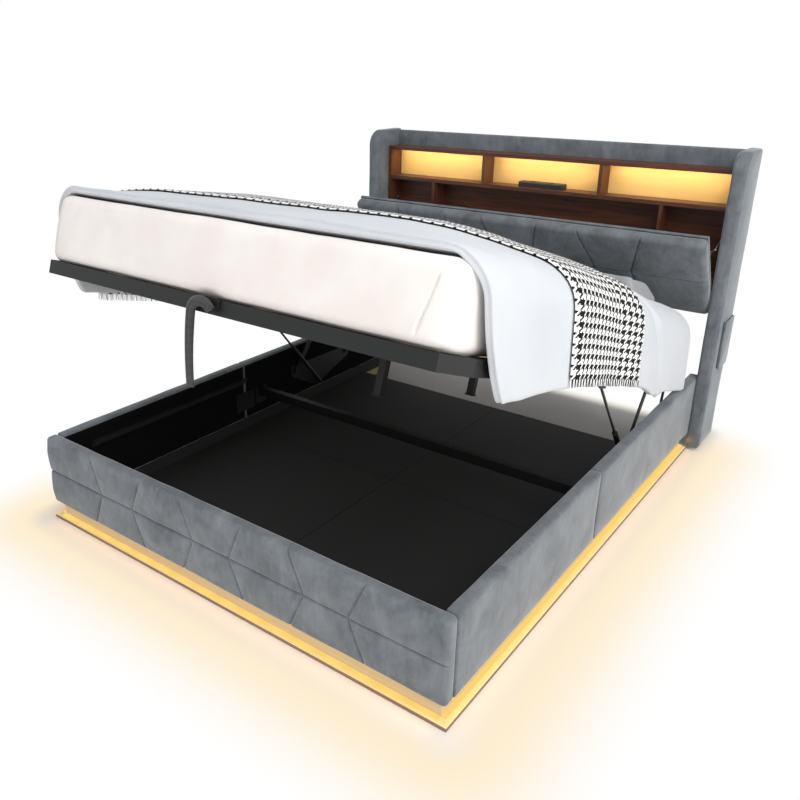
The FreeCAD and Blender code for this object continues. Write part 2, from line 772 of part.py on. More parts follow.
def side_pockets():
    pockets = []
    for side, sign in PAIR:
        y = ("bed_length + pocket_start", "bed_length + pocket_end")
        face = "bed_width / 2 + wing_thickness"
        z = ("pocket_bottom", "pocket_top")
        blank = block(f"{side}_pocket_blank", sided(sign, face, f"{face} + pocket_depth"), y, z)
        soft = rounded(f"{side}_pocket_soft", blank, size("pocket_round"),
                       lambda middle, ends: middle.z < size("pocket_bottom") + size("pocket_round")
                       and abs(ends.x) > size("pocket_cloth"))
        room_x = sided(sign, f"{face} + pocket_cloth / 2", f"{face} + pocket_depth - pocket_cloth")
        room = block(f"{side}_pocket_room", room_x, (f"{y[0]} + pocket_round", f"{y[1]} - pocket_round"),
                     ("pocket_bottom + pocket_round", "pocket_top + overrun"))
        pockets.append(cut(f"{side}_pocket", soft, room))
    keep(group("side_pockets", pockets))


def bolts():
    inside = "bed_width / 2 - rail_thickness"
    heads = []
    for side, sign in PAIR:
        for row, share in enumerate(BOLT_SHARES):
            heads.append(cross_rod(f"{side}_bolt_{row}", sided(sign, f"{inside} - bolt_head", inside),
                                   "bed_length + rail_tail / 2",
                                   f"rail_bottom + (rail_top - rail_bottom) * {share}", "bolt_radius"))
    keep(group("headboard_bolts", heads))


# Lift gear


def rod_between(start, end, radius):
    return Part.makeCylinder(radius, (end - start).Length, start, end - start)


def bar_link(start, end, x, width, holes):
    """Flat bar with round ends between two pivots, in the plane between two X values."""
    line = end - start
    deep = V(x[1] - x[0], 0, 0)
    side = V(0, -line.z, line.y).normalize() * (width / 2)
    a = V(x[0], start.y, start.z)
    b = V(x[0], end.y, end.z)
    corners = [a + side, b + side, b - side, a - side]
    plate = Part.Face(Part.makePolygon(corners + corners[:1])).extrude(deep)
    ends = [Part.makeCylinder(width / 2, deep.x, point, V(1, 0, 0)) for point in (a, b)]
    bar = plate.fuse(ends).removeSplitter()
    for point, radius in zip((a, b), holes):
        if radius:
            bar = bar.cut(Part.makeCylinder(radius, deep.x, point, V(1, 0, 0)))
    return bar


def both_sides(shape):
    """The right hand shape and its mirror image."""
    return Part.makeCompound([shape, shape.mirror(V(), V(1, 0, 0))])


def along_x(point, x):
    return V(x, point.y, point.z)


def headed_pin(point, x, head_at, radius):
    """Pin along X with a head at one end."""
    pin = Part.makeCylinder(radius, x[1] - x[0], along_x(point, x[0]), V(1, 0, 0))
    head = Part.makeCylinder(size("pin_head"), size("pin_head_height"), along_x(point, head_at), V(1, 0, 0))
    return pin.fuse(head)


def lift_gear():
    arm_start = platform_side - size("arm_inset")
    arm_x = (arm_start, arm_start + size("arm_thickness"))
    lug_start = platform_side - size("lug_inset")
    lug_x = (lug_start, lug_start + size("gear_plate"))
    strut_x = platform_side - size("strut_inset")
    plate_x = (rail_inside - size("gear_plate"), rail_inside)
    pin = size("pin_radius")
    hole = pin + size("pin_fit")
    gap = size("rest_gap")

    margin = size("plate_margin")
    reach = V(0, margin, 0)
    rise = V(0, 0, margin)
    low_edge = strut_pivot - rise * LOWER_MARGIN_SHARE
    corners = [arm_pivot - reach + rise, link_pivot + reach + rise, link_pivot + reach - rise,
               low_edge + reach, low_edge - reach, arm_pivot - reach - rise]
    corners = [along_x(p, plate_x[0]) for p in corners]
    plate = Part.Face(Part.makePolygon(corners + corners[:1])).extrude(V(size("gear_plate"), 0, 0))
    keep(solid("lift_base_plates", both_sides(plate)))

    head_x = arm_x[0] - gap - size("pin_head_height")
    pins = [headed_pin(p, (arm_x[0] - gap, plate_x[0]), head_x, pin) for p in (arm_pivot, link_pivot)]
    eye_half = size("eye_thickness") / 2
    stud = Part.makeCylinder(size("eye_pin"), plate_x[0] - strut_x + eye_half,
                             along_x(strut_pivot, strut_x - eye_half), V(1, 0, 0))
    keep(solid("base_pivot_pins", both_sides(Part.makeCompound(pins + [stud]))))

    arm = bar_link(arm_pivot, arm_pin_open, arm_x, size("arm_width"), (hole, hole))
    keep(solid("lift_arms", both_sides(arm)))

    link = bar_link(link_pivot, link_pin_open, arm_x, size("link_width"), (hole, 0))
    stub = Part.makeCylinder(pin, arm_x[0] - lug_x[1] - gap,
                             along_x(link_pin_open, lug_x[1] + gap), V(1, 0, 0))
    keep(solid("rear_links", both_sides(link.fuse(stub))))

    lugs = []
    for closed in (arm_pin_closed, link_pin_closed):
        drop = size("pin_drop") + size("arm_width") / 2
        corner = V(lug_x[0], closed.y - size("lug_length") / 2, closed.z - size("arm_width") / 2)
        lugs.append(Part.makeBox(size("gear_plate"), size("lug_length"), drop, corner))
    strut_lug_x = strut_x + eye_half + gap
    lugs.append(Part.makeBox(size("gear_plate"), size("lug_length"), size("pin_drop") + size("eye_radius"),
                             V(strut_lug_x, strut_pin_closed.y - size("lug_length") / 2,
                               strut_pin_closed.z - size("eye_radius"))))
    keep(solid("platform_lugs", both_sides(Part.makeCompound(lugs)), open_platform))

    upper = Part.makeCylinder(pin, arm_x[1] + gap - lug_x[1], along_x(arm_pin_closed, lug_x[1]), V(1, 0, 0))
    upper = upper.fuse(Part.makeCylinder(size("pin_head"), size("pin_head_height"),
                                         along_x(arm_pin_closed, arm_x[1] + gap), V(1, 0, 0)))
    keep(solid("platform_pivot_pins", both_sides(upper), open_platform))

    foot = along_x(strut_pivot, strut_x)
    end = along_x(strut_pin_open, strut_x)
    way = (end - foot).normalize()
    travel = (strut_pin_open - strut_pivot).Length - (strut_pin_closed - strut_pivot).Length
    dead_end = 3 * size("cylinder_wall")
    length = travel + dead_end + size("rod_tail")
    start = foot + way * size("eye_radius")
    wall = size("cylinder_wall")
    inner = size("cylinder_radius") - wall
    tube = Part.makeCylinder(size("cylinder_radius"), length, start, way)
    bore = Part.makeCylinder(inner, length, start + way * wall * 2, way)
    neck = rod_between(start + way * (length - wall), start + way * length, inner)
    neck = neck.cut(Part.makeCylinder(size("rod_radius") + size("hinge_fit"), length, start, way))
    eye = Part.makeCylinder(size("eye_radius"), size("eye_thickness"), foot - V(eye_half, 0, 0), V(1, 0, 0))
    eye_hole = Part.makeCylinder(size("eye_pin") + size("pin_fit"), size("eye_thickness"),
                                 foot - V(eye_half, 0, 0), V(1, 0, 0))
    root = rod_between(foot, start + way * wall, size("rod_radius"))
    cylinder = tube.cut(bore).fuse([neck, eye, root]).cut(eye_hole)
    keep(solid("gas_cylinders", both_sides(cylinder)))

    rod = rod_between(start + way * (travel + dead_end), end - way * eye_half, size("rod_radius"))
    top_eye = Part.makeCylinder(size("eye_radius"), size("eye_thickness"), end - V(eye_half, 0, 0),
                                V(1, 0, 0))
    keep(solid("gas_rods", both_sides(rod.fuse(top_eye))))
    return travel


# Platform


def platform():
    side = PLATFORM_SIDE
    z = (PLATFORM_BOTTOM, PLATFORM_TOP)
    end = f"({PLATFORM_START} + platform_length)"
    bore_z = (f"{PLATFORM_BOTTOM} + bar_wall", f"{PLATFORM_TOP} - bar_wall")

    outline = [
        at(-(platform_side - size("chamfer_in")), platform_start, platform_bottom),
        at(platform_side - size("chamfer_in"), platform_start, platform_bottom),
        at(platform_side, platform_start + size("chamfer_back"), platform_bottom),
    ]
    wide = size("bar_width")
    slope = math.atan2(size("chamfer_back"), size("chamfer_in"))
    inner_shift = wide * math.tan(slope / 2)
    inner_back = wide * math.tan((math.pi / 2 - slope) / 2)
    inner = [
        outline[1] + V(-inner_shift, wide, 0),
        outline[2] + V(-wide, inner_back, 0),
    ]
    tail = V(0, wide, 0)
    ring = outline + [outline[2] + tail, outline[2] + tail - V(wide, 0, 0), inner[1], inner[0]]
    ring = ring + [V(-p.x, p.y, p.z) for p in reversed(ring[2:])]
    foot = Part.Face(Part.makePolygon(ring + ring[:1])).extrude(V(0, 0, size("bar_height")))
    wall = size("bar_wall")
    hollow = Part.makeBox(2 * inner[0].x, wide - 2 * wall, size("bar_height") - 2 * wall,
                          V(-inner[0].x, outline[0].y + wall, platform_bottom + wall))
    keep(solid("platform_foot_bar", foot.cut(hollow), open_platform))

    sides = []
    for name, sign in PAIR:
        start = f"{PLATFORM_START} + chamfer_back + bar_width"
        tube = block(f"{name}_side_tube", sided(sign, f"{side} - bar_width", side), (start, end), z)
        bore = block(f"{name}_side_bore", sided(sign, f"{side} - bar_width + bar_wall", f"{side} - bar_wall"),
                     (f"{start} - overrun", f"{end} + overrun"), bore_z)
        sides.append(cut(f"{name}_side_bar", tube, bore))
    keep(group("platform_side_bars", sides, open_platform))
    span = (f"-({side} - bar_width)", f"{side} - bar_width")
    tube = block("head_tube", span, (f"{end} - bar_width", end), z)
    bore = block("head_bore", span, (f"{end} - bar_width + bar_wall", f"{end} - bar_wall"), bore_z)
    keep(group("platform_head_bar", [cut("head_bar", tube, bore)], open_platform))
    length = (f"{PLATFORM_START} + bar_width", f"{end} - bar_width")
    tube = block("spine_tube", ("-bar_width / 2", "bar_width / 2"), length,
                 (PLATFORM_BOTTOM, f"{PLATFORM_TOP} - slat_thickness"))
    bore = block("spine_bore", ("-bar_width / 2 + bar_wall", "bar_width / 2 - bar_wall"), length,
                 (f"{PLATFORM_BOTTOM} + bar_wall", f"{PLATFORM_TOP} - slat_thickness - bar_wall"))
    keep(group("platform_spine", [cut("spine_bar", tube, bore)], open_platform))

    first = f"{PLATFORM_START} + chamfer_back + bar_width"
    run = "(platform_length - chamfer_back - 2 * bar_width - slat_width)"
    slats = []
    for number in range(int(size("slat_count"))):
        place = f"({first} + {run} * {number} / (slat_count - 1))"
        slats.append(block(f"slat_{number}", span, (place, f"{place} + slat_width"),
                           (f"{PLATFORM_TOP} - slat_thickness", PLATFORM_TOP)))
    keep(group("bed_slats", slats, open_platform))

    legs = []
    pads = []
    for number, place in enumerate(("leg_first", "leg_second")):
        y = f"{PLATFORM_START} + {place}"
        legs.append(block(f"leg_{number}", ("-leg_side / 2", "leg_side / 2"),
                          (f"{y} - leg_side / 2", f"{y} + leg_side / 2"),
                          (f"{PLATFORM_BOTTOM} - leg_length + leg_pad", PLATFORM_BOTTOM)))
        pads.append(block(f"leg_pad_{number}", ("-leg_pad_side / 2", "leg_pad_side / 2"),
                          (f"{y} - leg_pad_side / 2", f"{y} + leg_pad_side / 2"),
                          (f"{PLATFORM_BOTTOM} - leg_length", f"{PLATFORM_BOTTOM} - leg_length + leg_pad")))
    keep(group("platform_legs", legs, open_platform))
    keep(group("leg_pads", pads, open_platform))


def pull_strap():
    """Thick webbing handle: it leaves its keeper, arches over and hangs down, hardly leaning."""
    wide, thick, bend = size("strap_width"), size("strap_thickness"), size("strap_bend")
    start, lean = math.radians(size("strap_start")), math.radians(size("strap_lean"))
    edge = opened(at(0, platform_start - size("keeper_depth"), platform_top - size("keeper_height")))
    centre = V(0, edge.y - size("cloth_gap") - wide / 2, edge.z + thick / 4 - bend * math.sin(start))

    def around(middle, radius, angle):
        return middle + V(math.cos(angle), 0, math.sin(angle)) * radius

    root = around(centre, bend, start)
    top = math.pi - lean
    end = around(centre, bend, top)
    hang = size("strap_drop") / lean
    far = around(end, -hang, top)
    path = Part.Wire([
        Part.Arc(root, around(centre, bend, (start + top) / 2), end).toShape(),
        Part.Arc(end, around(far, hang, top + lean / 2), around(far, hang, math.pi)).toShape(),
    ])
    across = V(0, wide / 2, 0)
    flat = V(0, (wide - thick) / 2, 0)
    out = around(V(), thick / 2, start)
    section = Part.Wire([
        Part.LineSegment(root + out - flat, root + out + flat).toShape(),
        Part.Arc(root + out + flat, root + across, root - out + flat).toShape(),
        Part.LineSegment(root - out + flat, root - out - flat).toShape(),
        Part.Arc(root - out - flat, root - across, root + out - flat).toShape(),
    ])
    keep(solid("pull_strap", path.makePipeShell([section], True, False)))
    middle = "strap_bend * cos(strap_start)"
    keeper = block("strap_keeper_plate", (f"{middle} - keeper_width / 2", f"{middle} + keeper_width / 2"),
                   (f"{PLATFORM_START} - keeper_depth", PLATFORM_START),
                   (f"{PLATFORM_TOP} - keeper_height", PLATFORM_TOP))
    keep(group("strap_keeper", [keeper], open_platform))


# Mattress and bedding


def ring_wire(centre, half_x, half_y, corner):
    """Level rounded rectangle: four lines and four quarter arcs."""
    edges = []
    inner = corner * (1 - math.sqrt(0.5))
    for i, (sx, sy) in enumerate(((1, -1), (1, 1), (-1, 1), (-1, -1))):
        nx, ny = ((1, 1), (-1, 1), (-1, -1), (1, -1))[i]
        if i % 2 == 0:
            first = V(sx * (half_x - corner), sy * half_y, 0)
            last = V(sx * half_x, sy * (half_y - corner), 0)
            following = V(nx * half_x, ny * (half_y - corner), 0)
        else:
            first = V(sx * half_x, sy * (half_y - corner), 0)
            last = V(sx * (half_x - corner), sy * half_y, 0)
            following = V(nx * (half_x - corner), ny * half_y, 0)
        mid = V(sx * (half_x - inner), sy * (half_y - inner), 0)
        edges.append(Part.Arc(centre + first, centre + mid, centre + last).toShape())
        edges.append(Part.LineSegment(centre + last, centre + following).toShape())
    return Part.Wire(edges)


def layered(centre, half_x, half_y, corner, levels):
    """Loft through rounded rectangles; each level is (height, inset), rounder the further it is set in."""
    wires = []
    for height, inset in levels:
        limit = (min(half_x, half_y) - inset) * BEND_LIMIT_SHARE
        bend = min(max(corner - inset, inset / 2), limit)
        wires.append(ring_wire(centre + V(0, 0, height), half_x - inset, half_y - inset, bend))
    return Part.makeLoft(wires, True, True)


def mattress():
    height, edge = size("mattress_height"), size("mattress_edge")
    centre = at(0, platform_start + size("platform_length") / 2, platform_top + size("cloth_gap"))
    lower = [(edge * rise, edge * inset) for rise, inset in MATTRESS_SHARES]
    upper = [(height - rise, inset) for rise, inset in reversed(lower)]
    crown = (height + size("mattress_crown"), size("mattress_length") / 6)
    levels = lower + [(height / 2, edge / 8)] + upper + [crown]
    keep(solid("mattress", layered(centre, size("mattress_width") / 2, size("mattress_length") / 2,
                                   size("mattress_corner"), levels), open_platform))


bed_surface = platform_top + size("mattress_height") + size("mattress_crown") + 2 * size("cloth_gap")
duvet_surface = bed_surface + size("duvet_thickness") + size("cloth_gap")


def fold_strip(x, thickness, start, end, z, depth, folds, sign):
    """Level outline of a hanging cloth: a wavy strip of shallow arcs, front and back alike."""
    step = (end - start) / folds
    outer = [V(sign * (x + thickness), start + step * i, z) for i in range(folds + 1)]
    inner = [V(sign * x, start + step * i, z) for i in range(folds + 1)]

    def wave(points):
        edges = []
        for i in range(folds):
            bulge = depth if i % 2 == 0 else -depth
            mid = (points[i] + points[i + 1]) * 0.5 + V(sign * bulge, 0, 0)
            edges.append(Part.Arc(points[i], mid, points[i + 1]).toShape())
        return edges

    edges = wave(outer) + wave(inner)
    edges.append(Part.LineSegment(outer[-1], inner[-1]).toShape())
    edges.append(Part.LineSegment(inner[0], outer[0]).toShape())
    return Part.Wire(Part.__sortEdges__(edges))


def hanging(x, thickness, start, end, top, drop, folds, sign):
    """Cloth that hangs plumb from the open platform's side: folds deepen towards the hem."""
    wires = []
    for share in FALL_SHARES:
        fall = drop * share
        lean = fall * math.tan(tilt)
        flat = size("fold_depth") * TOP_FOLD_SHARE
        depth = flat + (size("fold_depth") - flat) * share
        spread = x + depth - flat
        wires.append(fold_strip(spread, thickness, start + lean, end + lean, top - fall, depth, folds, sign))
    return Part.makeLoft(wires, True, True)


def bedding():
    start = platform_start + size("duvet_start") - middle_y
    end = platform_start + size("duvet_end") - middle_y
    thick = size("duvet_thickness")
    side = size("duvet_side")
    half_length = (end - start) / 2
    centre = V(0, start + half_length, bed_surface)
    levels = [(thick * rise, thick * inset) for rise, inset in DUVET_SHARES]
    edge = levels[-1][1]
    crown = size("duvet_crown")
    levels += [(thick + crown * rise, edge + (half_length - edge) * run) for rise, run in CROWN_SHARES]
    corner = size("duvet_corner")
    padding = layered(centre, side, half_length, corner, levels)
    keep(solid("duvet_top", padding, open_platform))
    cloth, folds = size("duvet_cloth"), int(size("duvet_folds"))
    gap = size("cloth_gap")
    fall_end = platform_start + size("duvet_fall_end") - middle_y
    drops = [hanging(side - cloth, cloth, start + corner, fall_end, bed_surface - gap,
                     size("duvet_drop"), folds, sign) for _, sign in PAIR]
    keep(solid("duvet_drops", Part.makeCompound(drops), open_platform))

    width, thin = size("throw_width"), size("throw_thickness")
    reach = size("throw_side")
    left = platform_start + size("throw_left_start") - middle_y
    right = platform_start + size("throw_right_start") - middle_y
    low = duvet_surface
    corners = [V(-reach, left, low), V(reach, right, low),
               V(reach, right + width, low), V(-reach, left + width, low)]
    band = Part.Face(Part.makePolygon(corners + corners[:1]))
    over = padding.translated(V(0, 0, gap + thin))
    under = padding.translated(V(0, 0, gap))
    raised = band.extrude(V(0, 0, crown + thin + size("overrun"))).common(over)
    top = band.extrude(V(0, 0, thin)).fuse(raised).cut(under).removeSplitter()
    keep(solid("throw_top", top, open_platform))
    drops = []
    for begin, drop, sign in ((left, "throw_left_drop", -1), (right, "throw_right_drop", 1)):
        drops.append(hanging(reach - thin, thin, begin, begin + width, low - gap, size(drop),
                             int(size("throw_folds")), sign))
    keep(solid("throw_drops", Part.makeCompound(drops), open_platform))


def pillow_ring(centre, half_x, half_y, corner, draw):
    """Level outline of a pillow: sides drawn in between rounded corners."""
    edges = []
    inner = corner * (1 - math.sqrt(0.5))
    quarters = ((1, -1), (1, 1), (-1, 1), (-1, -1))
    for i, (sx, sy) in enumerate(quarters):
        along_y = V(sx * half_x, sy * (half_y - corner), 0)
        along_x_side = V(sx * (half_x - corner), sy * half_y, 0)
        first, last = (along_x_side, along_y) if i % 2 == 0 else (along_y, along_x_side)
        mid = V(sx * (half_x - inner), sy * (half_y - inner), 0)
        edges.append(Part.Arc(centre + first, centre + mid, centre + last).toShape())
        nx, ny = quarters[(i + 1) % len(quarters)]
        if i % 2 == 0:
            following = V(nx * half_x, ny * (half_y - corner), 0)
            waist = V(sx * (half_x - draw), 0, 0)
        else:
            following = V(nx * (half_x - corner), ny * half_y, 0)
            waist = V(0, sy * (half_y - draw), 0)
        edges.append(Part.Arc(centre + last, centre + waist, centre + following).toShape())
    return Part.Wire(edges)


def pillows():
    half_x, half_y, height = size("pillow_width") / 2, size("pillow_length") / 2, size("pillow_height")
    far = platform_start + size("platform_length") - size("pillow_end")
    pair = []
    for _, sign in PAIR:
        centre = at(sign * size("pillow_offset"), far - half_y, bed_surface)
        wires = []
        for level, spread in PILLOW_SHARES:
            wires.append(pillow_ring(centre + V(0, 0, height * level), half_x * spread, half_y * spread,
                                     size("pillow_corner") * spread, size("pillow_draw") * spread))
        pair.append(Part.makeLoft(wires, True, True))
    keep(solid("pillows", Part.makeCompound(pair), open_platform))


# Drop panel of the headboard, its hinges and its folding stays


def drop_panel():
    half = wing_inside - size("panel_gap")
    back = shelf_face - size("hinge_leaf") - size("hinge_fit")
    board_front = back - size("panel_board")
    front = board_front - size("panel_pad")
    low = hinge.z + size("hinge_drop")
    high = low + size("panel_height")
    pad = padded_face((-half, half), (front, board_front), (low, high), size("panel_round"))
    pad = pad.cut(quilt_seams(front, low, high, half))
    keep(solid("drop_panel_pad", pad, panel_open))
    board = Part.makeBox(2 * (half - size("panel_gap")), size("panel_board"), high - low - size("panel_gap"),
                         at(-half + size("panel_gap"), board_front, low))
    keep(solid("drop_panel_board", board, panel_open))

    radius, knuckle = size("hinge_radius"), size("hinge_knuckle")
    leaf, reach = size("hinge_leaf"), size("hinge_leaf_length")
    gap = size("hinge_fit")
    fixed, swung, pins = [], [], []
    for place in (-1, 0, 1):
        x = place * size("hinge_spacing")
        bore = Part.makeCylinder(size("hinge_pin") + gap, 4 * knuckle,
                                 along_x(hinge, x - 2 * knuckle), V(1, 0, 0))
        for share in KNUCKLE_SHARES:
            left = x + share * knuckle + (gap if share > 0 else -gap)
            barrel = Part.makeCylinder(radius, knuckle, along_x(hinge, left), V(1, 0, 0))
            web_y = hinge.y + radius - leaf - gap
            web = Part.makeBox(knuckle, leaf, shelf_under - hinge.z, V(left, web_y, hinge.z))
            neck = Part.makeBox(knuckle, reach, leaf, V(left, web_y, shelf_under - leaf))
            fixed.append(barrel.fuse([web, neck]).cut(bore))
        barrel = Part.makeCylinder(radius, knuckle, along_x(hinge, x - knuckle / 2), V(1, 0, 0))
        plate = Part.makeBox(knuckle, leaf, reach, V(x - knuckle / 2, at(0, back, 0).y, hinge.z))
        swung.append(barrel.fuse(plate).cut(bore))
        pin_start = along_x(hinge, x + KNUCKLE_SHARES[0] * knuckle)
        pins.append(Part.makeCylinder(size("hinge_pin"), 3 * knuckle, pin_start, V(1, 0, 0)))
    keep(solid("shelf_hinges", Part.makeCompound(fixed + pins)))
    keep(solid("panel_hinges", Part.makeCompound(swung), panel_open))


def panel_stays():
    elbow = stay_elbow(stay_end_open)
    thick, width, pin = size("stay_thickness"), size("stay_width"), size("stay_pin")
    inside = wing_inside - size("shelf_thickness")
    gap = size("hinge_fit")
    outer = (inside - 2 * thick, inside - thick)
    inner = (outer[0] - thick - gap, outer[0] - gap)
    hole = pin + size("pin_fit")
    upper = bar_link(stay_post, elbow, outer, width, (hole, 0))
    lower = bar_link(elbow, stay_end_open, inner, width, (0, hole))
    keep(solid("stay_upper_bars", both_sides(upper)))
    keep(solid("stay_lower_bars", both_sides(lower)))
    post = Part.makeCylinder(pin, inside - outer[0] + thick / 2,
                             along_x(stay_post, outer[0] - thick / 2), V(1, 0, 0))
    keep(solid("stay_posts", both_sides(post)))
    back = at(0, shelf_face - size("hinge_leaf") - size("hinge_fit"), 0).y
    foot = Part.makeBox(thick, stay_end_closed.y - back + width / 2, width,
                        V(inner[0] - thick - gap, back, stay_end_closed.z - width / 2))
    stud = Part.makeCylinder(pin, thick * 2 + gap,
                             along_x(stay_end_closed, inner[0] - thick - gap), V(1, 0, 0))
    keep(solid("stay_feet", both_sides(foot.fuse(stud)), panel_open))
    return elbow


rails()
footboard()
plinth()
storage_floor()
box_fittings()
wings()
shelves()
charging_station()
side_pockets()
bolts()
strut_travel = lift_gear()
platform()
pull_strap()
mattress()
bedding()
pillows()
drop_panel()
elbow_open = panel_stays()
doc.recompute()

failed = [o.Label for o in doc.Objects if "Invalid" in o.State or "Error" in o.State]
failed += [n.Label for n in nodes if n.Shape.isNull() or not n.Shape.isValid()]
if failed:
    raise RuntimeError("failed to build: " + ", ".join(failed))

os.makedirs("parts", exist_ok=True)
for node in nodes:
    node.Shape.exportStep(f"parts/{node.Label}.step")

elbow_closed = stay_elbow(stay_end_closed)
arm_turn = angle_of(arm_pivot, arm_pin_open) - angle_of(arm_pivot, arm_pin_closed)
link_turn = angle_of(link_pivot, link_pin_open) - angle_of(link_pivot, link_pin_closed)
strut_turn = angle_of(strut_pivot, strut_pin_open) - angle_of(strut_pivot, strut_pin_closed)
post_turn = angle_of(stay_post, elbow_open) - angle_of(stay_post, elbow_closed)
end_turn = angle_of(stay_end_open, elbow_open) - angle_of(stay_end_closed, elbow_closed)
for word, point in (("arm pivot", arm_pivot), ("arm pin", arm_pin_open), ("link pivot", link_pivot),
                    ("strut pivot", strut_pivot), ("strut pin", strut_pin_open), ("panel hinge", hinge),
                    ("stay post", stay_post), ("stay end", stay_end_open)):
    print(word, round(point.y, 3), round(point.z, 3))
print("arm turn", round(arm_turn, 4), "link turn", round(link_turn, 4), "strut turn", round(strut_turn, 4))
print("strut travel", round(strut_travel, 3), "stay turns", round(post_turn, 4), round(end_turn, 4))
print(len(nodes), "sub-parts")
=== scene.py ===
import json
import math

import bmesh
import bpy
from bpy.props import FloatProperty, FloatVectorProperty, PointerProperty
from mathutils import Matrix, Vector, noise


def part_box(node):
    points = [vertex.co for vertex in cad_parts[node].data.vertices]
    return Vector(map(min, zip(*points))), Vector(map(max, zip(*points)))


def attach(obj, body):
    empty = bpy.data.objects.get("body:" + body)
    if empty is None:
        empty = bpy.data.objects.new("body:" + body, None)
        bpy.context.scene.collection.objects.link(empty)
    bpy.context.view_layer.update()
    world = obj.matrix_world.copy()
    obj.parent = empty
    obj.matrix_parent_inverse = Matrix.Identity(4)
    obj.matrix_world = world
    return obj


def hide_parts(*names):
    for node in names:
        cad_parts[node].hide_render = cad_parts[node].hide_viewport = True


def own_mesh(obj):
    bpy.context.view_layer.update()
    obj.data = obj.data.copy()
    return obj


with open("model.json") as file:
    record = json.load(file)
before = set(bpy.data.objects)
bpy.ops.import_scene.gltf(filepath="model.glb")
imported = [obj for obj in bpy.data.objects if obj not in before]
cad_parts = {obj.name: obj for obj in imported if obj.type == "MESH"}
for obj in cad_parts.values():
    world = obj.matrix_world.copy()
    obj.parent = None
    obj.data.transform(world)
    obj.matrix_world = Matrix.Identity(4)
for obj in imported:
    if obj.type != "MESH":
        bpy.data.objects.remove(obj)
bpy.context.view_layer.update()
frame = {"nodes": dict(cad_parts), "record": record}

bl_info = {
    "name": "Storage Bed",
    "version": (1, 0, 0),
    "blender": (4, 5, 0),
    "location": "3D View > Sidebar > Bed",
    "description": "Upholstery, bedding, finishes and stage of a gas-lift storage bed on its frame",
    "category": "Add Mesh",
}

LEFT, RIGHT = -1, 1
X, Y, Z = 0, 1, 2


def linear(code):
    """Linear colour of an sRGB hex value."""
    parts = [int(code[i:i + 2], 16) / 255 for i in (1, 3, 5)]
    return [c / 12.92 if c <= 0.04045 else ((c + 0.055) / 1.055) ** 2.4 for c in parts] + [1.0]


def length(name, description, default):
    return FloatProperty(name=name, description=description, default=default, unit="LENGTH", min=0.0)


def colour(name, description, code):
    return FloatVectorProperty(name=name, description=description, default=linear(code), subtype="COLOR",
                               size=4, min=0.0, max=1.0)


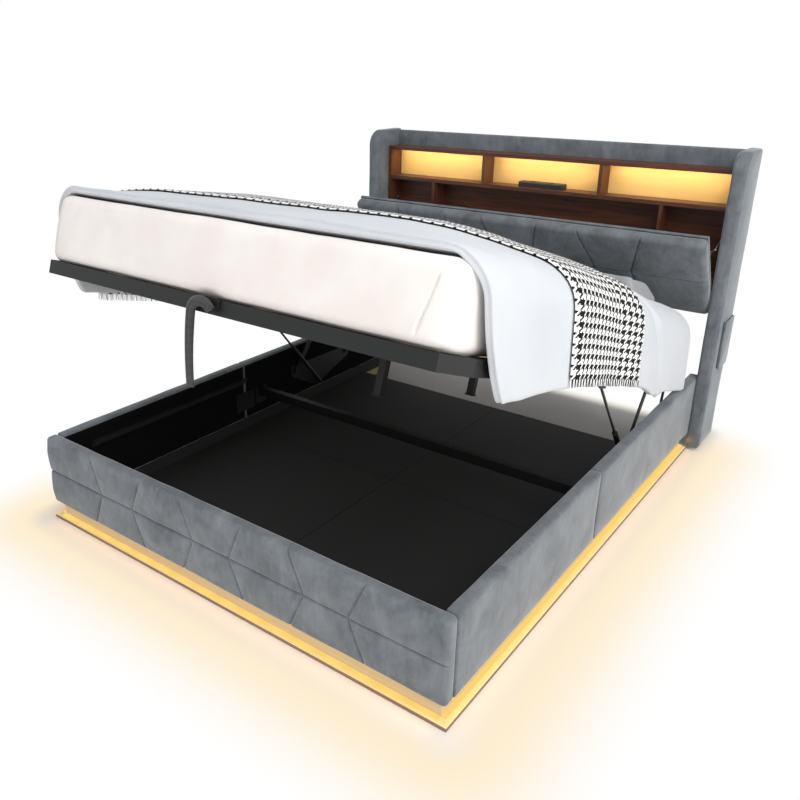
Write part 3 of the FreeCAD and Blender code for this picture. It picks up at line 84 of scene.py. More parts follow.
class BedSizes(bpy.types.PropertyGroup):
    """Sizes of the soft parts; the frame gives all others."""
    seam_depth: length("Seam depth", "Depth of the sewn quilting seams", 0.0085)
    seam_width: length("Seam width", "Half width of a quilting seam's groove", 0.0030)
    quilt_crown: length("Quilt crown", "Rise of the stuffing between the seams", 0.0085)
    quilt_pitch: length("Quilt pitch", "Distance between the quilting's waists", 0.468)
    quilt_waist: length("Quilt waist", "Width of a waist at the level seam", 0.162)
    quilt_mouth: length("Quilt mouth", "Width of a waist at the edges", 0.280)
    cover_round: length("Cover rounding", "Rounding of the rails' covers", 0.010)
    foot_round: length("Footboard rounding", "Rounding of the footboard's cover", 0.014)
    wing_corner: length("Wing corner", "Rounding of the wings' front corners", 0.075)
    wing_round: length("Wing rounding", "Rounding of the wings' edges", 0.014)
    back_round: length("Back rounding", "Rounding of the headboard's back", 0.008)
    panel_round: length("Panel rounding", "Rounding of the drop panel's pad", 0.020)
    mattress_corner: length("Mattress corner", "Rounding of the mattress's upright corners", 0.070)
    mattress_edge: length("Mattress edge", "Rounding of the mattress's top and bottom edges", 0.030)
    mattress_crown: length("Mattress crown", "Bulge of the mattress's sides", 0.005)
    dart_depth: length("Dart depth", "Depth of the sewn dart in the mattress's cover", 0.011)
    pocket_depth: length("Pocket depth", "How far the side pockets stand out", 0.012)
    pocket_room: length("Pocket room", "Depth of the side pockets from their mouths", 0.170)
    duvet_edge: length("Duvet edge", "Height of the duvet's edge over the mattress", 0.036)
    duvet_cloth: length("Duvet side", "Thickness of the duvet where it hangs", 0.024)
    duvet_drop: length("Duvet drop", "How far the duvet hangs below the mattress's top", 0.285)
    duvet_point: length("Duvet point", "How much lower the duvet's foot corners hang", 0.045)
    duvet_bend: length("Duvet bend", "Radius of the duvet's bend over the mattress", 0.140)
    duvet_tail: length("Duvet tail", "How far the duvet's sides run on beside the pillows", 0.370)
    duvet_turn: length("Duvet turn", "Height of the duvet's turned-down head end", 0.014)
    duvet_crease: length("Duvet crease", "Distance of the turned-down end's crease from the foot", 1.345)
    crease_depth: length("Crease depth", "Depth of the crease at the turned-down end", 0.017)
    throw_left_drop: length("Throw drop, left", "How far the throw hangs at the left", 0.302)
    throw_right_drop: length("Throw drop, right", "How far the throw hangs at the right", 0.256)
    throw_width: length("Throw width", "Width of the throw", 0.690)
    throw_foot_border: length("Foot border", "Width of the throw's large checks at the foot", 0.070)
    throw_head_border: length("Head border", "Width of the throw's large checks at the head", 0.270)
    throw_check: length("Throw check", "Length of a check along the throw", 0.032)
    throw_lift: length("Throw lift", "Height of the throw over the duvet", 0.007)
    throw_cloth: length("Throw cloth", "Thickness of the throw", 0.005)
    throw_bow: length("Throw bow", "How far the throw's middle lies towards the foot", 0.060)
    fringe: length("Fringe", "Length of the throw's fringe", 0.024)
    pillow_loft: length("Pillow loft", "How far a pillow may swell from its flat case", 0.046)
    strap_width: length("Strap width", "Width of the pull strap", 0.022)
    strap_thickness: length("Strap thickness", "Thickness of the folded pull strap", 0.032)
    strap_bend: length("Strap bend", "Radius of the pull strap's arch", 0.046)
    lift_tilt: FloatProperty(name="Lift tilt", description="Slope of the open platform",
                             default=math.radians(18), subtype="ANGLE")
    panel_tilt: FloatProperty(name="Panel tilt", description="Lean of the let-down panel",
                              default=math.radians(35.5), subtype="ANGLE")


class BedColours(bpy.types.PropertyGroup):
    """Colours of the finishes."""
    velvet: colour("Velvet", "Pile of the velvet, brushed flat", "#7a7f84")
    velvet_deep: colour("Velvet, deep", "Pile of the velvet, brushed up", "#52575c")
    lining: colour("Lining", "Lining of the storage box", "#0c0c0d")
    walnut: colour("Walnut", "Pale streaks of the walnut", "#6b3f2a")
    walnut_deep: colour("Walnut, deep", "Dark streaks of the walnut", "#2c1711")
    ticking: colour("Ticking", "Knitted cover of the mattress", "#efebe8")
    ticking_deep: colour("Ticking, deep", "Mottling of the mattress's cover", "#e7e0dc")
    duvet: colour("Duvet", "Cotton of the duvet", "#cfd2d6")
    pillow: colour("Pillow", "Cotton of the pillows", "#a9abac")
    throw_pale: colour("Throw, pale", "Pale yarn of the throw", "#f3f3f1")
    throw_dark: colour("Throw, dark", "Dark yarn of the throw", "#0b0b0c")
    glow: colour("Glow", "Light of the diffusers", "#ffd673")
    strap: colour("Strap", "Webbing of the pull strap", "#2c2d2e")


def sizes():
    return bpy.context.scene.bed_sizes


def colours():
    return bpy.context.scene.bed_colours


# Materials


def add(material, kind, inputs=None, **settings):
    """Adds a node with its settings; an input is a value, or the socket that feeds it."""
    node = material.node_tree.nodes.new(kind)
    for name, value in settings.items():
        setattr(node, name, value)
    for key, value in (inputs or {}).items():
        if isinstance(value, bpy.types.NodeSocket):
            material.node_tree.links.new(value, node.inputs[key])
        else:
            node.inputs[key].default_value = value
    return node


def finish(name, **constants):
    """New material and its shader, with the sockets that are the same all over the surface."""
    material = bpy.data.materials.new(name)
    material.use_nodes = True
    shader = material.node_tree.nodes["Principled BSDF"]
    for socket, value in constants.items():
        shader.inputs[socket.replace("_", " ")].default_value = value
    return material, shader


def feed(material, shader, colour=None, roughness=None, normal=None):
    """Links a material's patterns to its shader."""
    links = (("Base Color", colour, 2), ("Roughness", roughness, 0), ("Normal", normal, 0))
    for name, node, output in links:
        if node:
            material.node_tree.links.new(node.outputs[output], shader.inputs[name])
    return material


def per_mm(millimetres):
    """Scale of a pattern whose features are this far apart, on coordinates in metres."""
    return 1000 / millimetres


def wave_scale(millimetres):
    """Scale of a wave texture whose bands are this far apart; it turns by 20 radians over each unit."""
    return math.tau / 20 * per_mm(millimetres)


def velvet():
    """Brushed upholstery velvet: cloudy patches where the pile lies differently, and a pale edge sheen."""
    material, shader = finish("brushed_velvet", Roughness=0.82, Sheen_Weight=1.0, Sheen_Roughness=0.35,
                              Sheen_Tint=linear("#e3e7ea"), Specular_IOR_Level=0.2)
    place = add(material, "ShaderNodeTexCoord").outputs["Object"]
    cloud = add(material, "ShaderNodeTexNoise", {"Vector": place, "Scale": per_mm(120), "Detail": 5.0,
                                                 "Roughness": 0.62, "Distortion": 0.6})
    # brush strokes are drawn 18 mm wide and 60 mm long, and lean
    stroke = add(material, "ShaderNodeMapping", {"Vector": place, "Rotation": (-0.6, 0.5, 0.0),
                                                 "Scale": (per_mm(18), per_mm(18), per_mm(60))})
    brush = add(material, "ShaderNodeTexNoise", {"Vector": stroke.outputs[0], "Scale": 1.0, "Detail": 4.0,
                                                 "Roughness": 0.65})
    both = add(material, "ShaderNodeMath", {0: brush.outputs[0], 1: 0.4, 2: cloud.outputs[0]},
               operation="MULTIPLY_ADD")
    span = add(material, "ShaderNodeMapRange", {0: both.outputs[0], 1: 0.46, 2: 0.94})
    pile = add(material, "ShaderNodeMix", {0: span.outputs[0], 6: colours().velvet_deep,
                                           7: colours().velvet}, data_type="RGBA")
    bump = add(material, "ShaderNodeBump", {"Strength": 0.22, "Distance": 0.0012,
                                            "Height": both.outputs[0]})
    return feed(material, shader, colour=pile, normal=bump)


def lining():
    """Black dust cloth: dead matt, with a faint open weave."""
    material, shader = finish("black_lining", Roughness=0.95, Specular_IOR_Level=0.1)
    place = add(material, "ShaderNodeTexCoord").outputs["Object"]
    weave = add(material, "ShaderNodeTexNoise", {"Vector": place, "Scale": per_mm(4), "Detail": 2.0})
    tone = add(material, "ShaderNodeMix", {0: weave.outputs[0], 6: linear("#070708"), 7: colours().lining},
               data_type="RGBA")
    return feed(material, shader, colour=tone)


def walnut(name, grain):
    """Rustic walnut foil: long dark streaks along the board and a satin lacquer."""
    material, shader = finish(name, Roughness=0.42, Specular_IOR_Level=0.4)
    place = add(material, "ShaderNodeTexCoord").outputs["Object"]
    # streaks run about 300 mm along the board and 14 mm across it
    stretch = [per_mm(14)] * 3
    stretch[grain] = per_mm(300)
    along = add(material, "ShaderNodeMapping", {"Vector": place, "Scale": stretch})
    streak = add(material, "ShaderNodeTexNoise", {"Vector": along.outputs[0], "Scale": 1.0, "Detail": 6.0,
                                                  "Roughness": 0.7, "Distortion": 0.8})
    span = add(material, "ShaderNodeMapRange", {0: streak.outputs[0], 1: 0.3, 2: 0.72})
    tone = add(material, "ShaderNodeMix", {0: span.outputs[0], 6: colours().walnut_deep,
                                           7: colours().walnut}, data_type="RGBA")
    pores = add(material, "ShaderNodeBump", {"Strength": 0.15, "Distance": 0.0008,
                                             "Height": streak.outputs[0]})
    return feed(material, shader, colour=tone, normal=pores)


def grained(name, pale, deep, across, roughness):
    """Plain timber: straight grain along the bed's width."""
    material, shader = finish(name, Roughness=roughness)
    place = add(material, "ShaderNodeTexCoord").outputs["Object"]
    along = add(material, "ShaderNodeMapping", {"Vector": place,
                                                "Scale": (per_mm(240), per_mm(across), per_mm(across))})
    grain = add(material, "ShaderNodeTexNoise", {"Vector": along.outputs[0], "Scale": 1.0, "Detail": 4.0})
    tone = add(material, "ShaderNodeMix", {0: grain.outputs[0], 6: linear(deep), 7: linear(pale)},
               data_type="RGBA")
    fibre = add(material, "ShaderNodeBump", {"Strength": 0.1, "Distance": 0.0006,
                                             "Height": grain.outputs[0]})
    return feed(material, shader, colour=tone, normal=fibre)


def speckled(name, pale, deep, grit, roughness, metallic=0.0, bump=0.2, gloss=0.5):
    """Powder coat, moulding or rubber: one tone with a fine orange-peel grit."""
    material, shader = finish(name, Metallic=metallic, Specular_IOR_Level=gloss)
    place = add(material, "ShaderNodeTexCoord").outputs["Object"]
    peel = add(material, "ShaderNodeTexNoise", {"Vector": place, "Scale": per_mm(grit), "Detail": 2.0})
    tone = add(material, "ShaderNodeMix", {0: peel.outputs[0], 6: linear(deep), 7: linear(pale)},
               data_type="RGBA")
    worn = add(material, "ShaderNodeMapRange", {0: peel.outputs[0], 3: roughness - 0.08,
                                                4: roughness + 0.08})
    relief = add(material, "ShaderNodeBump", {"Strength": bump, "Distance": 0.0004,
                                              "Height": peel.outputs[0]})
    return feed(material, shader, colour=tone, roughness=worn, normal=relief)


def diffuser():
    """Silicone light diffuser: even warm glow, a little brighter over each lamp."""
    material, shader = finish("glowing_diffuser", Base_Color=linear("#4a3a20"), Roughness=0.5,
                              Emission_Color=colours().glow)
    place = add(material, "ShaderNodeTexCoord").outputs["Object"]
    # the bright spots are drawn 107 mm apart along the strip, wider than the lamps sit, to show
    lamps = add(material, "ShaderNodeTexWave", {"Vector": place, "Scale": wave_scale(106.8)},
                bands_direction="X")
    level = add(material, "ShaderNodeMapRange", {0: lamps.outputs[1], 3: 0.86, 4: 0.94})
    material.node_tree.links.new(level.outputs[0], shader.inputs["Emission Strength"])
    return material


def woven(name, pale, deep, thread, blotch, roughness, sheen):
    """Plain woven or knitted cotton: soft mottling, fine thread relief and a slight fuzz."""
    material, shader = finish(name, Roughness=roughness, Sheen_Weight=sheen, Sheen_Roughness=0.5,
                              Specular_IOR_Level=0.2)
    place = add(material, "ShaderNodeTexCoord").outputs["Object"]
    cloud = add(material, "ShaderNodeTexNoise", {"Vector": place, "Scale": per_mm(blotch), "Detail": 4.0})
    span = add(material, "ShaderNodeMapRange", {0: cloud.outputs[0], 1: 0.35, 2: 0.65})
    tone = add(material, "ShaderNodeMix", {0: span.outputs[0], 6: deep, 7: pale}, data_type="RGBA")
    # threads are drawn several times coarser than real ones so that they show
    knit = add(material, "ShaderNodeTexVoronoi", {"Vector": place, "Scale": per_mm(thread)})
    relief = add(material, "ShaderNodeBump", {"Strength": 0.12, "Distance": 0.0008,
                                              "Height": knit.outputs[0]})
    return feed(material, shader, colour=tone, normal=relief)


def houndstooth():
    """Houndstooth wool: four dark and four pale threads each way in a two-over-two twill."""
    material, shader = finish("houndstooth_wool", Roughness=0.92, Sheen_Weight=0.03, Specular_IOR_Level=0.1)
    flat = add(material, "ShaderNodeTexCoord").outputs["UV"]
    split = add(material, "ShaderNodeSeparateXYZ", {0: flat})
    # a check is 8 threads: 32 mm along the throw, 34 mm across its middle and 68 mm across its borders
    threads, middle_check, border_check = 8, 0.034, 0.068
    fine, coarse = threads / middle_check, threads / border_check
    head = sizes().throw_width - sizes().throw_head_border
    sums = (
        ("warp", "MULTIPLY", "along", threads / sizes().throw_check),
        ("warp", "FLOOR", "warp"),
        ("foot_part", "MINIMUM", "across", sizes().throw_foot_border),
        ("head_part", "MAXIMUM", "across", head),
        ("head_part", "SUBTRACT", "head_part", head),
        ("border", "ADD", "foot_part", "head_part"),
        ("border", "MULTIPLY", "border", fine - coarse),
        ("weft", "MULTIPLY", "across", fine),
        ("weft", "SUBTRACT", "weft", "border"),
        ("weft", "FLOOR", "weft"),
        ("warp_band", "DIVIDE", "warp", 4.0),
        ("warp_band", "FLOOR", "warp_band"),
        ("warp_dark", "FLOORED_MODULO", "warp_band", 2.0),
        ("weft_band", "DIVIDE", "weft", 4.0),
        ("weft_band", "FLOOR", "weft_band"),
        ("weft_dark", "FLOORED_MODULO", "weft_band", 2.0),
        ("twill", "ADD", "warp", "weft"),
        ("twill", "FLOORED_MODULO", "twill", 4.0),
        ("over", "LESS_THAN", "twill", 2.0),
        ("under", "SUBTRACT", 1.0, "over"),
        ("warp_seen", "MULTIPLY", "over", "warp_dark"),
        ("weft_seen", "MULTIPLY", "under", "weft_dark"),
        ("dark", "ADD", "warp_seen", "weft_seen"),
    )
    sockets = {"along": split.outputs[0], "across": split.outputs[1]}
    for result, operation, *values in sums:
        inputs = {i: sockets.get(value, value) for i, value in enumerate(values)}
        sockets[result] = add(material, "ShaderNodeMath", inputs, operation=operation).outputs[0]
    yarn = add(material, "ShaderNodeMix", {0: sockets["dark"], 6: colours().throw_pale,
                                           7: colours().throw_dark}, data_type="RGBA")
    ribs = add(material, "ShaderNodeBump", {"Strength": 0.3, "Distance": 0.001, "Height": sockets["over"]})
    return feed(material, shader, colour=yarn, normal=ribs)


def webbing():
    """Padded nylon webbing: dark, with ribs across the strap."""
    material, shader = finish("ribbed_webbing", Roughness=0.75, Sheen_Weight=0.2)
    place = add(material, "ShaderNodeTexCoord").outputs["Object"]
    # ribs are drawn 25 mm apart, several times coarser than real ones, to show
    ribs = add(material, "ShaderNodeTexWave", {"Vector": place, "Scale": wave_scale(25.13),
                                               "Distortion": 0.4}, bands_direction="Z")
    # the grooves between the ribs are painted darker: painted shade
    tone = add(material, "ShaderNodeMix", {0: ribs.outputs[1], 6: linear("#232425"), 7: colours().strap},
               data_type="RGBA")
    relief = add(material, "ShaderNodeBump", {"Strength": 0.4, "Distance": 0.0008,
                                              "Height": ribs.outputs[1]})
    return feed(material, shader, colour=tone, normal=relief)


FINISHES = {}


def shared(maker, *choices, **numbers):
    """A finish that several pieces use, made once."""
    key = (maker.__name__, choices, tuple(numbers.items()))
    if key not in FINISHES:
        FINISHES[key] = maker(*choices, **numbers)
    return FINISHES[key]


# Modelling

# least cosine between a face's normal and the way that it faces
FACING = 0.9
# points this near to a plane lie on it
NEAR = 0.001
# depth of the unevenness of stuffed upholstery
UNEVEN = 0.0016
# a cover's lining ends this far below its top
LINING_MARGIN = 0.02


def box_between(low, high):
    shape = bmesh.new()
    bmesh.ops.create_cube(shape, size=1)
    bmesh.ops.scale(shape, vec=high - low, verts=shape.verts)
    bmesh.ops.translate(shape, vec=(low + high) / 2, verts=shape.verts)
    return shape


def round_edges(shape, edges, radius, segments):
    bmesh.ops.bevel(shape, geom=list(edges), offset=radius, offset_type="OFFSET", affect="EDGES",
                    segments=segments, profile=0.5, material=-1)


def soft_box(low, high, radius, segments=4):
    shape = box_between(low, high)
    round_edges(shape, shape.edges, radius, segments)
    return shape


def divide(shape, axis, spacing):
    """Divides the long edges along an axis, so that the faces between them can swell."""
    edges = [e for e in shape.edges if e.calc_length() > 2 * spacing
             and abs((e.verts[1].co - e.verts[0].co)[axis]) > 0.99 * e.calc_length()]
    if edges:
        cuts = max(1, round(max(e.calc_length() for e in edges) / spacing) - 1)
        bmesh.ops.subdivide_edges(shape, edges=edges, cuts=cuts, use_grid_fill=True)


def swell(shape, depth, span, seed=0.0):
    """Moves points along their normals by soft noise, so that a stuffed face isn't dead flat."""
    shape.normal_update()
    start = Vector((seed, seed, seed))
    moves = [(v, v.normal * depth * noise.noise(v.co / span + start)) for v in shape.verts]
    for point, move in moves:
        point.co += move


def eased(value):
    """Soft step from 0 to 1."""
    value = min(1.0, max(0.0, value))
    return value * value * (3 - 2 * value)


def turned_box(node, angle):
    """Lowest and highest corner of a node, turned about the bed's cross axis."""
    turn = Matrix.Rotation(angle, 3, "X")
    points = [turn @ v.co for v in frame["nodes"][node].data.vertices]
    return (Vector([min(p[i] for p in points) for i in range(3)]),
            Vector([max(p[i] for p in points) for i in range(3)]))


def turn_shape(shape, angle):
    bmesh.ops.rotate(shape, cent=(0, 0, 0), matrix=Matrix.Rotation(angle, 3, "X"), verts=shape.verts)


def mesh_object(name, shape, *materials):
    """Object at the origin from a bmesh, with its normals outwards and smooth shading."""
    bmesh.ops.recalc_face_normals(shape, faces=shape.faces)
    mesh = bpy.data.meshes.new(name)
    shape.to_mesh(mesh)
    shape.free()
    for material in materials:
        mesh.materials.append(material)
    mesh.shade_smooth()
    piece = bpy.data.objects.new(name, mesh)
    bpy.context.scene.collection.objects.link(piece)
    return piece


def join_frame(piece, body, slot, *nodes):
    """Lets a piece ride on a body and stand for CAD nodes, which it hides; slot is not used."""
    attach(piece, body)
    if nodes:
        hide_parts(*nodes)
    return piece


def apply_modifiers(piece):
    graph = bpy.context.evaluated_depsgraph_get()
    flat = piece.data
    piece.data = bpy.data.meshes.new_from_object(piece.evaluated_get(graph))
    piece.modifiers.clear()
    bpy.data.meshes.remove(flat)
    piece.data.name = piece.name
    piece.data.shade_smooth()


def soften(piece):
    """Rounds a piece with one subdivision, after the modifiers that it has."""
    smooth = piece.modifiers.new("Smooth", "SUBSURF")
    smooth.levels = smooth.render_levels = 1
    apply_modifiers(piece)


def dress(slot, material, *nodes):
    """Gives CAD nodes of a finish slot a material: those named, or all of them."""
    for part in frame["record"]["subparts"]:
        if part["material_slot"] == slot and (not nodes or part["node"] in nodes):
            mesh = frame["nodes"][part["node"]].data
            mesh.materials.clear()
            mesh.materials.append(material)


def part_faces(shape, place, normal):
    """Parts a shape's faces along a plane."""
    bmesh.ops.bisect_plane(shape, geom=shape.verts[:] + shape.edges[:] + shape.faces[:], plane_co=place,
                           plane_no=normal)


def refinish(node, material, chosen):
    """Gives the faces of a CAD node that chosen() picks a finish of their own."""
    mesh = frame["nodes"][node].data
    mesh.materials.append(material)
    for face in mesh.polygons:
        if chosen(face):
            face.material_index = len(mesh.materials) - 1


def line_inside(shape, chosen, slot):
    """Puts the faces that chosen() picks in a material slot."""
    for face in shape.faces:
        if chosen(face):
            face.material_index = slot


def seam_lines(low, high):
    """Quilting of a padded front: a level seam, and pairs of slanted ones that pinch in at it."""
    waist_z = (low.z + high.z) / 2
    seams = [(Vector((low.x, waist_z)), Vector((high.x, waist_z)))]
    for column in (-1, 0, 1):
        for side in (LEFT, RIGHT):
            middle = column * sizes().quilt_pitch
            waist = Vector((middle + side * sizes().quilt_waist / 2, waist_z))
            for end in (low.z, high.z):
                seams.append((waist, Vector((middle + side * sizes().quilt_mouth / 2, end))))
    return seams


def seam_distance(point, seams):
    """Distance of a point on the front from the nearest seam."""
    nearest = math.inf
    for start, end in seams:
        run = end - start
        share = min(1.0, max(0.0, (point - start).dot(run) / run.length_squared))
        nearest = min(nearest, (start + run * share - point).length)
    return nearest


def quilted_pad(low, high, radius, spacing):
    """Padded board whose front, towards the foot, is sewn in large facets."""
    shape = soft_box(low, high, radius, segments=5)
    divide(shape, X, spacing)
    divide(shape, Z, spacing)
    seams = seam_lines(low, high)
    crown, depth, width = sizes().quilt_crown, sizes().seam_depth, sizes().seam_width
    for point in shape.verts:
        front = eased(1 - (point.co.y - low.y) / (1.5 * radius))
        if front > 0:
            gap = seam_distance(Vector((point.co.x, point.co.z)), seams)
            # the stuffing rises mostly within 45 mm of a seam, and thins out 70 mm from the straight edges
            edge = eased(min(point.co.z - low.z, high.z - point.co.z) / 0.07)
            stuffing = edge * crown * (1 - math.exp(-gap / 0.045))
            point.co.y -= front * (stuffing - depth * math.exp(-(gap / width) ** 2))
    swell(shape, depth=UNEVEN, span=0.11)
    return shape


class BedOperator(bpy.types.Operator):
    """Base of the bed's operators"""
    bl_options = {"REGISTER", "UNDO"}


class BED_OT_stage(BedOperator):
    """Camera at the photograph's angle, pale floor, soft light and the bed's own lamps"""
    bl_idname = "bed.stage"
    bl_label = "Stage"

    def execute(self, context):
        scene = context.scene
        scene.view_settings.view_transform = "Standard"
        self.place_camera(scene)
        self.lay_floor()
        self.light_world(scene)
        self.hang_lamps()
        return {"FINISHED"}

    def place_camera(self, scene):
        data = bpy.data.cameras.new("camera")
        data.sensor_width = 36.0
        data.lens = 35.956
        data.shift_x, data.shift_y = 0.0707, -0.0305
        camera = bpy.data.objects.new("camera", data)
        camera.location = (1.6539, -2.6010, 1.6380)
        camera.rotation_euler = (math.radians(90 - 21.36), 0, math.radians(37.87))
        scene.collection.objects.link(camera)
        scene.camera = camera

    def lay_floor(self):
        shape = bmesh.new()
        bmesh.ops.create_grid(shape, x_segments=1, y_segments=1, size=40)
        bmesh.ops.translate(shape, vec=(0, 0, -0.001), verts=shape.verts)
        floor = mesh_object("floor", shape, self.floor_paint())

    def floor_paint(self):
        """Matt white studio floor: takes shadow near the bed, then shows a painted pool of the plinth
        lamps' warm glow, and fades to white.
        """
        material, shader = finish("studio_floor", Base_Color=linear("#dddbd8"), Roughness=0.9,
                                  Specular_IOR_Level=0.1)
        ledge_low, ledge_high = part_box("plinth_ledges")
        back_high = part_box("headboard_back_cover")[1]
        fade = self.distance_fade(material, ledge_low, back_high, near=0.0, far=0.13)
        # a warm pool painted around the plinth stands for the glow of its light strips on the floor
        glow_fade = self.distance_fade(material, ledge_low, ledge_high, near=0.08, far=0.42)
        painted_glow_pool = add(material, "ShaderNodeMix", {0: glow_fade, 6: linear("#feedcf"), 7: (1, 1, 1, 1)},
                   data_type="RGBA")
        seen = self.seen_directly(material)
        share = add(material, "ShaderNodeMath", {0: fade, 1: seen}, operation="MULTIPLY")
        white = add(material, "ShaderNodeEmission", {"Color": painted_glow_pool.outputs[2], "Strength": 1.0})
        both = add(material, "ShaderNodeMixShader", {0: share.outputs[0], 1: shader.outputs[0],
                                                     2: white.outputs[0]})
        out = material.node_tree.nodes["Material Output"]
        material.node_tree.links.new(both.outputs[0], out.inputs["Surface"])
        return material

    def distance_fade(self, material, low, high, near, far):
        """0 to 1 from a near to a far distance from a rectangle on the floor."""
        away = add(material, "ShaderNodeTexCoord").outputs["Object"]
        for operation, value in (("SUBTRACT", (low + high) / 2), ("ABSOLUTE", (0, 0, 0)),
                                 ("SUBTRACT", (high - low) / 2), ("MAXIMUM", (0, 0, 0))):
            step = add(material, "ShaderNodeVectorMath", {0: away, 1: value}, operation=operation)
            away = step.outputs[0]
        gap = add(material, "ShaderNodeVectorMath", {0: away}, operation="LENGTH")
        return add(material, "ShaderNodeMapRange", {0: gap.outputs[1], 1: near, 2: far},
                   interpolation_type="SMOOTHSTEP").outputs[0]

    def seen_directly(self, holder):
        """1 for rays that come from the camera, a gloss or a glass."""
        rays = add(holder, "ShaderNodeLightPath").outputs
        some = add(holder, "ShaderNodeMath", {0: rays["Is Camera Ray"], 1: rays["Is Glossy Ray"]},
                   operation="MAXIMUM")
        return add(holder, "ShaderNodeMath", {0: some.outputs[0], 1: rays["Is Transmission Ray"]},
                   operation="MAXIMUM").outputs[0]

    def light_world(self, scene):
        world = bpy.data.worlds.new("studio")
        world.use_nodes = True
        scene.world = world
        soft = world.node_tree.nodes["Background"]
        soft.inputs["Color"].default_value = (1, 1, 1, 1)
        soft.inputs["Strength"].default_value = 0.36
        white = add(world, "ShaderNodeBackground", {"Color": (1, 1, 1, 1), "Strength": 1.0})
        both = add(world, "ShaderNodeMixShader", {0: self.seen_directly(world), 1: soft.outputs[0],
                                                  2: white.outputs[0]})
        world.node_tree.links.new(both.outputs[0], world.node_tree.nodes["World Output"].inputs["Surface"])

    def lamp(self, name, place, aim, size, watts, code="#ffffff"):
        data = bpy.data.lights.new(name, "AREA")
        data.shape = "RECTANGLE"
        data.size, data.size_y = size
        data.energy = watts
        data.color = linear(code)[:3]
        lamp = bpy.data.objects.new(name, data)
        lamp.location = place
        lamp.visible_camera = False
        lamp.rotation_euler = (Vector(aim) - Vector(place)).to_track_quat("-Z", "Y").to_euler()
        bpy.context.scene.collection.objects.link(lamp)

    def hang_lamps(self):
        self.lamp("key", (3.2, -2.2, 4.2), aim=(0, -0.2, 0.4), size=(3.2, 3.2), watts=155)
        self.lamp("top", (-0.3, -0.8, 4.7), aim=(-0.3, -0.8, 0), size=(3.6, 3.6), watts=45)
        self.lamp("fill", (-3.4, -2.8, 2.8), aim=(0, -0.6, 0.3), size=(3.0, 3.0), watts=20, code="#f4f8ff")
        self.lamp("front", (0.2, -3.2, 0.35), aim=(0, -1.16, 0.12), size=(2.4, 0.5), watts=19)
        self.lamp("side", (4.0, -0.4, 1.2), aim=(0.87, -0.1, 0.2), size=(3.0, 1.2), watts=51)
        self.light_plinth()
        self.light_shelf()

    def light_plinth(self):
        """Lamps just outside the plinth's light strips, turned down to the floor in front of them."""
        low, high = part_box("plinth_lights")
        glow, height, gap, strip = "#ffbe5c", 0.05, 0.012, 0.02
        middle = (low.y + high.y) / 2
        self.lamp("foot_glow", (0, low.y - gap, height), aim=(0, low.y - 0.4, -0.1), size=(1.7, strip),
                  watts=0.45, code=glow)
        for name, side, x in (("left_glow", LEFT, low.x), ("right_glow", RIGHT, high.x)):
            out = x + side * gap
            self.lamp(name, (out, middle, height), aim=(out + side * 0.4, middle, -0.1),
                      size=(high.y - low.y, strip), watts=0.55, code=glow)

    def light_shelf(self):
        """One lamp under the top of each bay, turned to its back."""
        top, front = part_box("shelf_lights")[0].z - 0.004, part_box("shelf_top_board")[0].y
        for i, x in enumerate((-0.58, 0.0, 0.58)):
            self.lamp(f"shelf_glow_{i}", (x, front + 0.02, top), aim=(x, front + 0.1, top - 0.08),
                      size=(0.5, 0.01), watts=0.66, code="#ffe4b4")


class BED_OT_rails(BedOperator):
    """Velvet covers of the side rails, lined black on the inside"""
    bl_idname = "bed.rails"
    bl_label = "Side rails"

    def execute(self, context):
        for side, sign in (("left", LEFT), ("right", RIGHT)):
            for end in ("foot", "head"):
                self.cover(f"{side}_{end}_rail", sign)
        return {"FINISHED"}

    def cover(self, name, sign):
        low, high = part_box(f"{name}_cover")
        shape = soft_box(low, high, sizes().cover_round)
        for axis in (Y, Z):
            divide(shape, axis, spacing=0.03)
        top = high.z - LINING_MARGIN
        line_inside(shape, lambda f: f.normal.x * sign < -FACING and f.calc_center_median().z < top, 1)
        swell(shape, depth=UNEVEN, span=0.16)
        piece = mesh_object(f"{name}_upholstery", shape, shared(velvet), shared(lining))
        join_frame(piece, "frame", "velvet", f"{name}_cover")


class BED_OT_footboard(BedOperator):
    """Quilted footboard, lined black on the inside"""
    bl_idname = "bed.footboard"
    bl_label = "Footboard"

    def execute(self, context):
        low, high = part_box("footboard_cover")
        shape = quilted_pad(low, high, sizes().foot_round, spacing=0.0034)
        shape.normal_update()
        top = high.z - LINING_MARGIN
        line_inside(shape, lambda f: f.normal.y > FACING and f.calc_center_median().z < top, 1)
        piece = mesh_object("quilted_footboard", shape, shared(velvet), shared(lining))
        join_frame(piece, "frame", "velvet", "footboard_cover")
        return {"FINISHED"}


